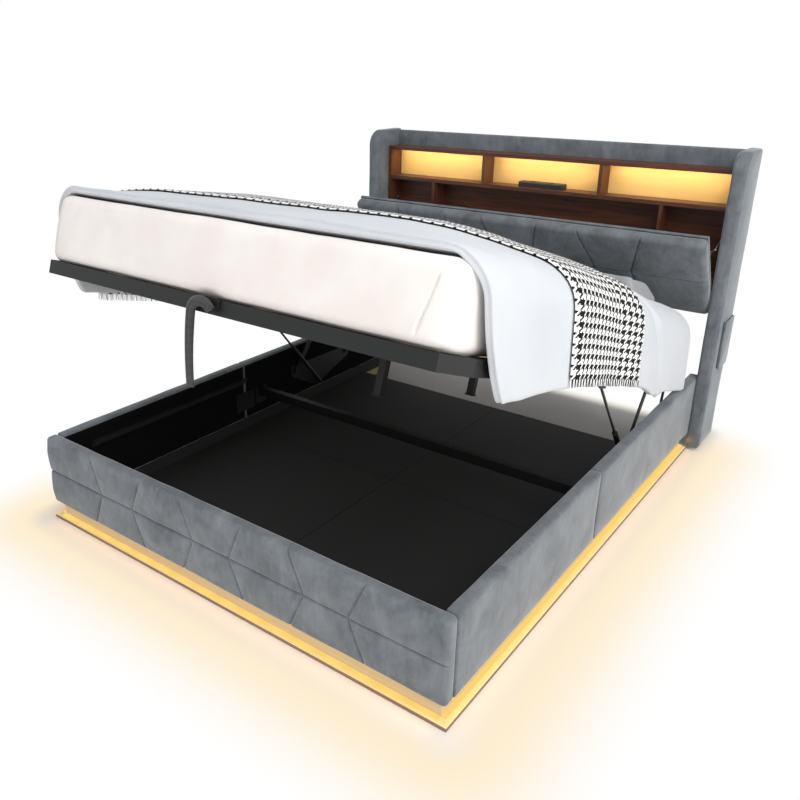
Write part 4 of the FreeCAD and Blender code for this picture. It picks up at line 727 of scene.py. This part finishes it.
class BED_OT_headboard(BedOperator):
    """Upholstered wings and back of the headboard, with cloth pockets on the wings"""
    bl_idname = "bed.headboard"
    bl_label = "Headboard"

    def execute(self, context):
        for side in ("left", "right"):
            self.wing(side)
        self.back()
        self.pockets()
        return {"FINISHED"}

    def wing(self, side):
        low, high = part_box(f"{side}_wing_cover")
        shape = box_between(low, high)
        front, top = low.y + NEAR, high.z - NEAR
        nose = [e for e in shape.edges if all(v.co.y < front and v.co.z > top for v in e.verts)]
        round_edges(shape, nose, sizes().wing_corner, segments=12)
        rim = [e for e in shape.edges if sum(abs(f.normal.x) > FACING for f in e.link_faces) == 1]
        round_edges(shape, rim, sizes().wing_round, segments=4)
        for axis in (Z, Y):
            divide(shape, axis, spacing=0.04)
        swell(shape, depth=UNEVEN, span=0.14)
        piece = mesh_object(f"{side}_wing_upholstery", shape, shared(velvet))
        join_frame(piece, "frame", "velvet", f"{side}_wing_cover")

    def back(self):
        low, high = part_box("headboard_back_cover")
        shape = soft_box(low, high, sizes().back_round)
        for axis in (X, Z):
            divide(shape, axis, spacing=0.04)
        shelf_low, shelf_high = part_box("shelf_bottom_board")[0].z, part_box("shelf_top_board")[1].z
        lamp_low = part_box("shelf_middle_board")[1].z
        for level in (shelf_low, lamp_low, shelf_high):
            part_faces(shape, (0, 0, level), (0, 0, 1))
        shape.normal_update()
        for slot, bottom, top in ((1, shelf_low, lamp_low), (2, lamp_low, shelf_high)):
            line_inside(shape, lambda f: f.normal.y < -FACING and bottom < f.calc_center_median().z < top,
                        slot)
        # the back of the upper bay, where the shelf lamps shine, is painted pale gold: painted glow of the
        # lamps on the back board
        lamp_glow_back = shared(grained, "maple_back_panel", "#dabb80", "#cba96a", across=22, roughness=0.6)
        piece = mesh_object("headboard_back_upholstery", shape, shared(velvet),
                            shared(walnut, "walnut_board", X), lamp_glow_back)
        join_frame(piece, "frame", "velvet", "headboard_back_cover")

    def pockets(self):
        low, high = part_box("side_pockets")
        whole = bmesh.new()
        depth = sizes().pocket_depth
        for outer, inner in ((low.x, low.x + depth), (high.x, high.x - depth)):
            start, end = sorted((outer, inner))
            shape = box_between(Vector((start, low.y, low.z)), Vector((end, high.y, high.z)))
            self.open_pocket(shape, low, outer)
            mesh = bpy.data.meshes.new("pocket")
            shape.to_mesh(mesh)
            shape.free()
            whole.from_mesh(mesh)
            bpy.data.meshes.remove(mesh)
        piece = mesh_object("cloth_side_pockets", whole, shared(velvet))
        join_frame(piece, "frame", "velvet", "side_pockets")

    def open_pocket(self, shape, low, outer):
        """Rounds a pocket's foot corners and outer edges, and opens it at its top."""
        foot = [e for e in shape.edges if all(v.co.z < low.z + NEAR for v in e.verts)
                and abs(e.verts[0].co.x - e.verts[1].co.x) > NEAR]
        round_edges(shape, foot, radius=0.024, segments=6)
        mouth = [f for f in shape.faces if f.normal.z > FACING]
        bmesh.ops.inset_region(shape, faces=mouth, thickness=0.003, use_even_offset=True)
        room = bmesh.ops.extrude_face_region(shape, geom=mouth)
        bmesh.ops.delete(shape, geom=mouth, context="FACES_ONLY")
        bottom = [v for v in room["geom"] if isinstance(v, bmesh.types.BMVert)]
        bmesh.ops.translate(shape, vec=(0, 0, -sizes().pocket_room), verts=bottom)
        rim = [e for e in shape.edges if sum(abs(f.normal.x) > FACING for f in e.link_faces) == 1
               and all(abs(v.co.x - outer) < NEAR / 2 for v in e.verts)]
        round_edges(shape, rim, radius=0.002, segments=3)


class BED_OT_drop_panel(BedOperator):
    """Quilted front of the headboard, let down on its stays"""
    bl_idname = "bed.drop_panel"
    bl_label = "Drop panel"

    def execute(self, context):
        tilt = sizes().panel_tilt
        low, high = turned_box("drop_panel_pad", -tilt)
        shape = quilted_pad(low, high, sizes().panel_round, spacing=0.0038)
        turn_shape(shape, tilt)
        piece = mesh_object("quilted_drop_panel", shape, shared(velvet))
        join_frame(piece, "drop_panel", "velvet", "drop_panel_pad")
        return {"FINISHED"}


class BED_OT_mattress(BedOperator):
    """Knit-covered mattress with crowned sides and a sewn dart at its foot corner"""
    bl_idname = "bed.mattress"
    bl_label = "Mattress"

    def execute(self, context):
        tilt = sizes().lift_tilt
        low, high = turned_box("mattress", tilt)
        shape = box_between(low, high)
        upright = [e for e in shape.edges if abs(e.verts[0].co.z - e.verts[1].co.z) > 0.01]
        round_edges(shape, upright, sizes().mattress_corner, segments=10)
        rims = [e for e in shape.edges if sum(abs(f.normal.z) > FACING for f in e.link_faces) == 1]
        round_edges(shape, rims, sizes().mattress_edge, segments=5)
        for axis, spacing in ((X, 0.05), (Y, 0.05), (Z, 0.016)):
            divide(shape, axis, spacing)
        self.sew_dart(shape, low, high)
        self.crown_sides(shape, low, high)
        swell(shape, depth=0.0022, span=0.13)
        turn_shape(shape, -tilt)
        knit = shared(woven, "knitted_ticking", tuple(colours().ticking), tuple(colours().ticking_deep),
                      thread=5, blotch=190, roughness=0.9, sheen=0.15)
        piece = mesh_object("knit_mattress", shape, knit)
        join_frame(piece, "platform", "ticking", "mattress")
        return {"FINISHED"}

    def sew_dart(self, shape, low, high):
        """Gathered seam in the cover's foot face, beside its right corner."""
        top = Vector((high.x - 0.072, low.y, high.z - 0.045))
        foot = Vector((high.x - 0.112, low.y, low.z + 0.02))
        run = top - foot
        across = run.cross(Vector((0, 1, 0))).normalized()
        for offset in (-0.012, -0.007, -0.004, -0.0015, 0.0, 0.0015, 0.004, 0.007, 0.012):
            part_faces(shape, top + across * offset, across)
        # half width of the groove, and share of its length over which each end runs out
        width, fade = 0.0030, 0.15
        for point in shape.verts:
            if point.co.y < low.y + 0.03:
                share = (point.co - foot).dot(run) / run.length_squared
                gap = abs((point.co - foot).dot(across))
                depth = sizes().dart_depth * eased(share / fade) * eased((1 - share) / fade)
                point.co.y += depth * math.exp(-(gap / width) ** 2)

    def crown_sides(self, shape, low, high):
        """Lets the outermost points of the sides bulge, most at half height."""
        middle, half = (low + high) / 2, (high - low) / 2
        for point in shape.verts:
            off = point.co - middle
            crown = sizes().mattress_crown * (1 - (off.z / half.z) ** 2)
            for axis in (X, Y):
                if abs(off[axis]) / half[axis] > 0.97:
                    point.co[axis] += math.copysign(crown, off[axis])


class Cover:
    """Lie of the bedding: crowned on the mattress, bent over its sides and hanging plumb from there."""

    def __init__(self):
        self.tilt = sizes().lift_tilt
        self.turn = Matrix.Rotation(-self.tilt, 3, "X")
        start, end = turned_box("duvet_top", self.tilt)
        self.bed = turned_box("mattress", self.tilt)[1].z
        self.start, self.run, self.side = start.y, end.y - start.y, end.x
        self.crown, self.peak = end.z - self.bed - sizes().duvet_edge, 0.7 * self.run
        # the crown still slopes where the bend begins
        self.bend, self.slope = sizes().duvet_bend, 0.27
        self.flat = self.side - self.bend * (1 - math.sin(self.slope))
        self.arc = self.flat + self.bend * (math.pi / 2 - self.slope)

    def reach(self, drop):
        """Half width of a cloth that hangs this far below the mattress's top."""
        fall = (drop + self.height(self.flat, self.run / 2)) / math.cos(self.tilt)
        return self.arc + fall - self.bend * math.cos(self.slope)

    def height(self, x, t):
        """Height of the crown over the mattress; it is highest towards the pillows."""
        half = self.run / 2
        across = max(0.0, abs(x) - self.side + half) / half
        along = (t - self.peak) / (self.peak if t < self.peak else self.run - self.peak)
        return sizes().duvet_edge + self.crown * max(0.0, 1 - math.hypot(across ** 2, along ** 2))

    def turned(self, s, t):
        """Rise of the turned-down head end: a crease, and a second layer of the duvet beyond it."""
        wander = 0.012 * noise.noise(Vector((s * 5, 2.0, 8.0)))
        past = t - (sizes().duvet_crease + 0.5 * max(0.0, s - self.flat) + wander)
        groove = sizes().crease_depth * math.exp(-(past / 0.008) ** 2)
        return sizes().duvet_turn * eased(past / 0.014) - groove

    def point(self, s, t):
        """Place of the duvet's outer face at s across the bed and t along it, from the foot."""
        side = math.copysign(1.0, s)
        s = abs(s)
        x = min(s, self.flat)
        rise = self.height(x, t) + self.turned(s, t)
        # broad and fine rumples
        rise += 0.007 * noise.noise(Vector((side * s * 3.2, t * 3.2, 1.7)))
        rise += 0.0022 * noise.noise(Vector((side * s * 14, t * 9, 5.1)))
        place = self.turn @ Vector((side * x, self.start + t, self.bed + rise))
        if s > self.flat:
            angle = min(self.slope + (s - self.flat) / self.bend, math.pi / 2)
            hang = max(0.0, s - self.arc)
            out = self.bend * (math.sin(angle) - math.sin(self.slope)) + self.folds(side, s, t, hang)
            place.x += side * out
            place.z -= self.bend * (math.cos(self.slope) - math.cos(angle)) + hang
        return place

    def folds(self, side, s, t, hang):
        """How far the hanging cloth stands out: shallow flutes, deeper towards the hem."""
        share = hang / sizes().duvet_drop
        flute = noise.noise(Vector((t * 4.2, side * 7.3, 0.4)))
        flute += 0.3 * noise.noise(Vector((t * 10, side * 3, 2.2)))
        turn = 0.8 * self.turned(s, t) * eased((s - self.flat) / self.bend)
        return turn + 0.010 * share + 0.015 * share ** 1.3 * flute

    def lifted(self, s, t, height):
        """Place at a height over the duvet's outer face."""
        step = 0.004
        across = self.point(s + step, t) - self.point(s - step, t)
        along = self.point(s, t + step) - self.point(s, t - step)
        return self.point(s, t) + across.cross(along).normalized() * height

    def under(self, s, t):
        """Place of the duvet's inner face: on the mattress, or inside the hanging side."""
        x = max(-self.flat, min(self.flat, s))
        # the foot edge is lifted off the mattress
        gap = 0.002 + 0.013 * math.exp(-t / 0.06)
        bed = self.turn @ Vector((x, self.start + t, self.bed + gap))
        hung = self.lifted(s, t, -sizes().duvet_cloth)
        return bed.lerp(hung, eased((abs(s) - self.flat + 0.03) / self.bend))


class BED_OT_duvet(BedOperator):
    """Crowned duvet that lies on the mattress, hangs at both sides and is turned down at its head end"""
    bl_idname = "bed.duvet"
    bl_label = "Duvet"

    def execute(self, context):
        cover = Cover()
        shape = bmesh.new()
        bmesh.ops.create_grid(shape, x_segments=76, y_segments=124, size=1)
        layer = shape.faces[:]
        # under, seam and upper layers lie at 0, 1 and 2
        for _ in range(2):
            grown = bmesh.ops.extrude_face_region(shape, geom=layer)["geom"]
            raised = [v for v in grown if isinstance(v, bmesh.types.BMVert)]
            bmesh.ops.translate(shape, vec=(0, 0, 1), verts=raised)
            layer = [f for f in grown if isinstance(f, bmesh.types.BMFace)]
        for point in shape.verts:
            point.co = self.place(cover, *point.co)
        cotton = shared(woven, "duvet_cotton", tuple(colours().duvet), tuple(linear("#c8cbd0")),
                        thread=4, blotch=260, roughness=0.92, sheen=0.15)
        piece = mesh_object("cotton_duvet", shape, cotton)
        soften(piece)
        join_frame(piece, "platform", "white_cotton", "duvet_top", "duvet_drops")
        fold_away(piece)
        return {"FINISHED"}

    def place(self, cover, across, along, level):
        """Point of the duvet; the seam layer is drawn in, so that the edge swells on both sides of it."""
        if round(level) == 1:
            across, along = across * 0.994, along * 0.992
        s = across * cover.reach(sizes().duvet_drop)
        hung = max(0.0, abs(s) - cover.arc) / sizes().duvet_drop
        # the foot edge draws back as it hangs, and the sides run on beyond the head end
        first = 0.012 + 0.10 * hung ** 2
        last = cover.run + sizes().duvet_tail * eased((abs(s) - 0.72) / 0.08)
        share = (along + 1) / 2
        # rows crowd together at the crease, at this share of the length
        crease = 0.82
        share -= 0.08 * (math.sin(math.tau * (share - crease)) + math.sin(math.tau * crease))
        t = first + share * (last - first)
        s += math.copysign(sizes().duvet_point * hung * math.exp(-t / 0.16), s)
        outer, inner = cover.point(s, t), cover.under(s, t)
        return inner.lerp(outer, (0.0, 0.5, 1.0)[round(level)])


def fold_away(piece):
    """Gives the cloth a mesh of its own."""
    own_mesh(piece)


class BED_OT_throw(BedOperator):
    """Houndstooth throw laid askew over the duvet, fringed at both ends"""
    bl_idname = "bed.throw"
    bl_label = "Throw"

    def execute(self, context):
        cover = Cover()
        ends = (cover.reach(sizes().throw_left_drop), cover.reach(sizes().throw_right_drop))
        width = sizes().throw_width
        left, right = self.starts(cover)
        shape = bmesh.new()
        bmesh.ops.create_grid(shape, x_segments=116, y_segments=36, size=1)
        flat = shape.loops.layers.uv.new("flat")

        def place(across, along):
            """Point of the throw at a share of its length and a distance from its foot edge."""
            s = across * ends[across > 0]
            lie = min(cover.side, max(-cover.side, s)) / cover.side
            start = left + (right - left) * (lie + 1) / 2 - sizes().throw_bow * (1 - lie ** 2)
            return cover.lifted(s, start + along, sizes().throw_lift)

        for face in shape.faces:
            for loop in face.loops:
                across, along = loop.vert.co.x, loop.vert.co.y
                loop[flat].uv = (ends[0] + across * ends[across > 0], (along + 1) / 2 * width)
        for point in shape.verts:
            point.co = place(point.co.x, (point.co.y + 1) / 2 * width)
        piece = mesh_object("houndstooth_throw", shape, shared(houndstooth))
        wall = piece.modifiers.new("Wall", "SOLIDIFY")
        wall.thickness = sizes().throw_cloth
        wall.offset = 0
        soften(piece)
        join_frame(piece, "platform", "houndstooth", "throw_top", "throw_drops")
        fringe = self.fringe(place, width)
        for cloth in (piece, fringe):
            fold_away(cloth)
        return {"FINISHED"}

    def starts(self, cover):
        """Foot edge of the throw at the left and the right side, from the duvet's foot edge."""
        turn = Matrix.Rotation(cover.tilt, 3, "X")
        points = [turn @ v.co for v in frame["nodes"]["throw_top"].data.vertices]
        # points beyond this distance from the middle belong to the side edges
        edge = 0.86
        return [min(p.y for p in points if p.x * side > edge) - cover.start for side in (LEFT, RIGHT)]

    def fringe(self, place, width):
        """Strands at both ends; the vector noise that sways them is seeded, or each run would differ."""
        noise.seed_set(1)
        shape = bmesh.new()
        count, hang = 116, sizes().fringe
        for end in (LEFT, RIGHT):
            for i in range(count):
                root = place(end, width * (i + 0.5) / count)
                sway = noise.noise_vector(Vector((i * 1.37, end * 9.1, 3.3))) * 0.006
                strand = bmesh.ops.create_cone(shape, segments=4, radius1=0.0010, radius2=0.0017,
                                               depth=hang)
                verts = strand["verts"]
                bmesh.ops.translate(shape, vec=root - Vector((0, 0, hang / 2 - 0.001)), verts=verts)
                for point in verts:
                    if point.co.z < root.z - hang / 2:
                        point.co += Vector((sway.x, sway.y, 0))
                for face in {f for v in verts for f in v.link_faces}:
                    face.material_index = i // 2 % 2
        wool = [shared(woven, f"{tone}_wool", tuple(shade), tuple(shade),
                       thread=3, blotch=60, roughness=0.95, sheen=0.2)
                for tone, shade in (("pale", colours().throw_pale), ("dark", colours().throw_dark))]
        return join_frame(mesh_object("throw_fringe", shape, *wool), "platform", "houndstooth")


class BED_OT_pillows(BedOperator):
    """Pair of slack cotton pillows at the head of the mattress"""
    bl_idname = "bed.pillows"
    bl_label = "Pillows"

    def execute(self, context):
        tilt = sizes().lift_tilt
        low, high = turned_box("pillows", tilt)
        cotton = shared(woven, "pillow_cotton", tuple(colours().pillow), tuple(linear("#9a9c9e")),
                        thread=4, blotch=120, roughness=0.92, sheen=0.25)
        # gap from the middle of the bed, room for the flat case to swell, and half of its height
        gap, room, flat = 0.05, 0.012, 0.018
        centre = Vector(((high.x + gap) / 2, (low.y + high.y) / 2, (low.z + high.z) / 2))
        half = Vector(((high.x - gap) / 2 - room, (high.y - low.y) / 2 - room, flat))
        shape = soft_box(centre - half, centre + half, radius=0.012, segments=2)
        sewn = mesh_object("pillow_case", shape, cotton)
        remesh = sewn.modifiers.new("Even", "REMESH")
        remesh.mode = "VOXEL"
        remesh.voxel_size = 0.011
        apply_modifiers(sewn)
        self.fill_case(sewn, sizes().pillow_loft)
        for side, sign in (("left", LEFT), ("right", RIGHT)):
            shape = bmesh.new()
            shape.from_mesh(sewn.data)
            for point in shape.verts:
                point.co.z = low.z + 0.001 + self.settled(point.co.z - low.z)
            if sign < 0:
                bmesh.ops.scale(shape, vec=(-1, 1, 1), verts=shape.verts)
            swell(shape, depth=0.004, span=0.09, seed=sign * 2.3)
            turn_shape(shape, -tilt)
            piece = mesh_object(f"{side}_pillow", shape, cotton)
            soften(piece)
            nodes = ("pillows",) if sign > 0 else ()
            join_frame(piece, "platform", "grey_cotton", *nodes)
        bpy.data.objects.remove(sewn)
        return {"FINISHED"}

    def settled(self, height):
        """Height over the mattress of a point once the pillow rests on it."""
        soft, sunk = 0.03, 0.02
        return height if height > soft else soft * eased(max(0.0, height + sunk) / (soft + sunk))

    def fill_case(self, piece, limit):
        """Blows the sewn case up with cloth pressure; no point moves further than limit."""
        began = [v.co.copy() for v in piece.data.vertices]
        cloth = piece.modifiers.new("Cloth", "CLOTH")
        cloth.settings.use_pressure = True
        cloth.settings.uniform_pressure_force = 4.0
        cloth.settings.effector_weights.gravity = 0.0
        scene = bpy.context.scene
        frames = 20
        for number in range(1, frames + 1):
            scene.frame_set(number)
        filled = piece.evaluated_get(bpy.context.evaluated_depsgraph_get()).data
        ended = [v.co.copy() for v in filled.vertices]
        piece.modifiers.remove(cloth)
        scene.frame_set(1)
        for point, first, last in zip(piece.data.vertices, began, ended):
            move = last - first
            point.co = first + (move if move.length < limit else move * (limit / move.length))


class BED_OT_pull_strap(BedOperator):
    """Padded pull strap that arches out of its keeper and hangs down"""
    bl_idname = "bed.pull_strap"
    bl_label = "Pull strap"

    def execute(self, context):
        low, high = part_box("pull_strap")
        wide, thick, bend = sizes().strap_width, sizes().strap_thickness, sizes().strap_bend
        centre = Vector((0, (low.y + high.y) / 2, high.z - 0.007 - bend))
        start, lean = math.radians(35), math.radians(12)
        shape = bmesh.new()
        ring = bmesh.ops.create_circle(shape, segments=28, radius=1)["verts"]
        for point in ring:
            across, out = point.co.x, point.co.y
            # the folded strap is waisted between its two layers
            crease = 1 - 0.4 * math.exp(-(out / 0.22) ** 2)
            radius = bend + out * thick / 2
            point.co = centre + Vector((radius * math.cos(start), across * crease * wide / 2,
                                        radius * math.sin(start)))
        top = math.pi - lean
        spun = bmesh.ops.spin(shape, geom=ring + shape.edges[:], cent=centre, axis=(0, -1, 0),
                              angle=top - start, steps=26)
        hang = (centre.z - low.z) / math.sin(lean) - bend
        end = centre + Vector((math.cos(top), 0, math.sin(top))) * bend
        far = end - Vector((math.cos(top), 0, math.sin(top))) * hang
        bmesh.ops.spin(shape, geom=spun["geom_last"], cent=far, axis=(0, -1, 0), angle=lean, steps=30)
        bmesh.ops.holes_fill(shape, edges=[e for e in shape.edges if e.is_boundary], sides=0)
        # it narrows towards its lower end
        for point in shape.verts:
            share = eased((centre.z - point.co.z) / (centre.z - low.z))
            point.co.y = centre.y + (point.co.y - centre.y) * (1 - 0.4 * share)
        piece = mesh_object("webbing_pull_strap", shape, shared(webbing))
        join_frame(piece, "platform", "webbing", "pull_strap")
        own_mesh(piece)
        return {"FINISHED"}


class BED_OT_fittings(BedOperator):
    """Finishes of the steel, timber, plastic and light parts"""
    bl_idname = "bed.fittings"
    bl_label = "Fittings"

    def execute(self, context):
        coat = shared(speckled, "charcoal_powder_coat", "#181919", "#121313", grit=1.6, roughness=0.5,
                      gloss=0.3)
        plated = shared(speckled, "zinc_plated_steel", "#b9bbbc", "#9fa1a2", grit=3, roughness=0.34,
                        metallic=1.0, bump=0.1)
        rod = shared(speckled, "black_nitrided_rod", "#1d1d1e", "#161617", grit=2, roughness=0.3)
        dress("steel", coat)
        dress("bright_steel", plated)
        dress("bright_steel", rod, "gas_rods")
        dress("walnut", shared(walnut, "walnut_board", X))
        dress("walnut", shared(walnut, "walnut_upright", Z), "shelf_sides", "shelf_dividers")
        dress("board", shared(grained, "pine_board", "#c9a878", "#a98555", across=9, roughness=0.7))
        black = shared(speckled, "black_faced_board", "#101011", "#0a0a0b", grit=5, roughness=0.85)
        dress("black_board", black)
        dress("black_board", shared(velvet), "drop_panel_board")
        # pale tan outward faces of the black risers: painted glow of the plinth's light strips
        painted_glow_riser = shared(grained, "oak_riser", "#dcc59c", "#c9ad80", across=7, roughness=0.6)
        dress("black_board", painted_glow_riser, "plinth_risers")
        # the risers stay black on top and inside; their outward faces are painted pale tan, a painted glow
        # of the light strips on the black board
        refinish("plinth_risers", black, lambda f: f.normal.z > 0.5 or f.normal.dot(f.center) < 0)
        # the ledges' pale gold is partly the oak's own tone and partly painted glow of the light strips
        # above them
        dress("plinth_board", shared(grained, "oak_ledge", "#f3e6ab", "#e6d08e", across=7, roughness=0.5))
        # the ledges' upright faces are painted dark brown: painted shade beside their glowing tops
        edge = shared(grained, "smoked_oak_edge", "#8d7562", "#6f5a4b", across=9, roughness=0.6)
        refinish("plinth_ledges", edge, lambda f: abs(f.normal.z) < 0.5)
        dress("slat_wood", shared(grained, "birch_slat", "#d8bd92", "#c09f70", across=6, roughness=0.5))
        dress("light_strip", shared(diffuser))
        moulding = shared(speckled, "black_moulding", "#1a1a1b", "#121213", grit=1.2, roughness=0.45)
        dress("black_plastic", moulding)
        socket = shared(speckled, "socket_moulding", "#303132", "#252627", grit=1.2, roughness=0.5)
        dress("socket_plastic", socket)
        dress("rubber", shared(speckled, "moulded_rubber", "#1c1c1c", "#141414", grit=2, roughness=0.8))
        return {"FINISHED"}


class BED_PT_panel(bpy.types.Panel):
    """Lists the bed's operators, sizes and colours"""
    bl_label = "Storage Bed"
    bl_idname = "BED_PT_panel"
    bl_space_type = "VIEW_3D"
    bl_region_type = "UI"
    bl_category = "Bed"

    def draw(self, context):
        for operator in OPERATORS:
            self.layout.operator(operator.bl_idname)
        for group in (context.scene.bed_sizes, context.scene.bed_colours):
            for name in group.__annotations__:
                self.layout.prop(group, name)


OPERATORS = (BED_OT_stage, BED_OT_fittings, BED_OT_rails, BED_OT_footboard, BED_OT_headboard,
             BED_OT_drop_panel, BED_OT_mattress, BED_OT_duvet, BED_OT_throw, BED_OT_pillows,
             BED_OT_pull_strap)
CLASSES = (BedSizes, BedColours) + OPERATORS + (BED_PT_panel,)


def register():
    for item in CLASSES:
        bpy.utils.register_class(item)
    bpy.types.Scene.bed_sizes = PointerProperty(type=BedSizes)
    bpy.types.Scene.bed_colours = PointerProperty(type=BedColours)


def unregister():
    del bpy.types.Scene.bed_colours
    del bpy.types.Scene.bed_sizes
    for item in reversed(CLASSES):
        bpy.utils.unregister_class(item)


def main():
    register()
    for operator in OPERATORS:
        group, name = operator.bl_idname.split(".")
        getattr(getattr(bpy.ops, group), name)()


if __name__ == "__main__":
    main()
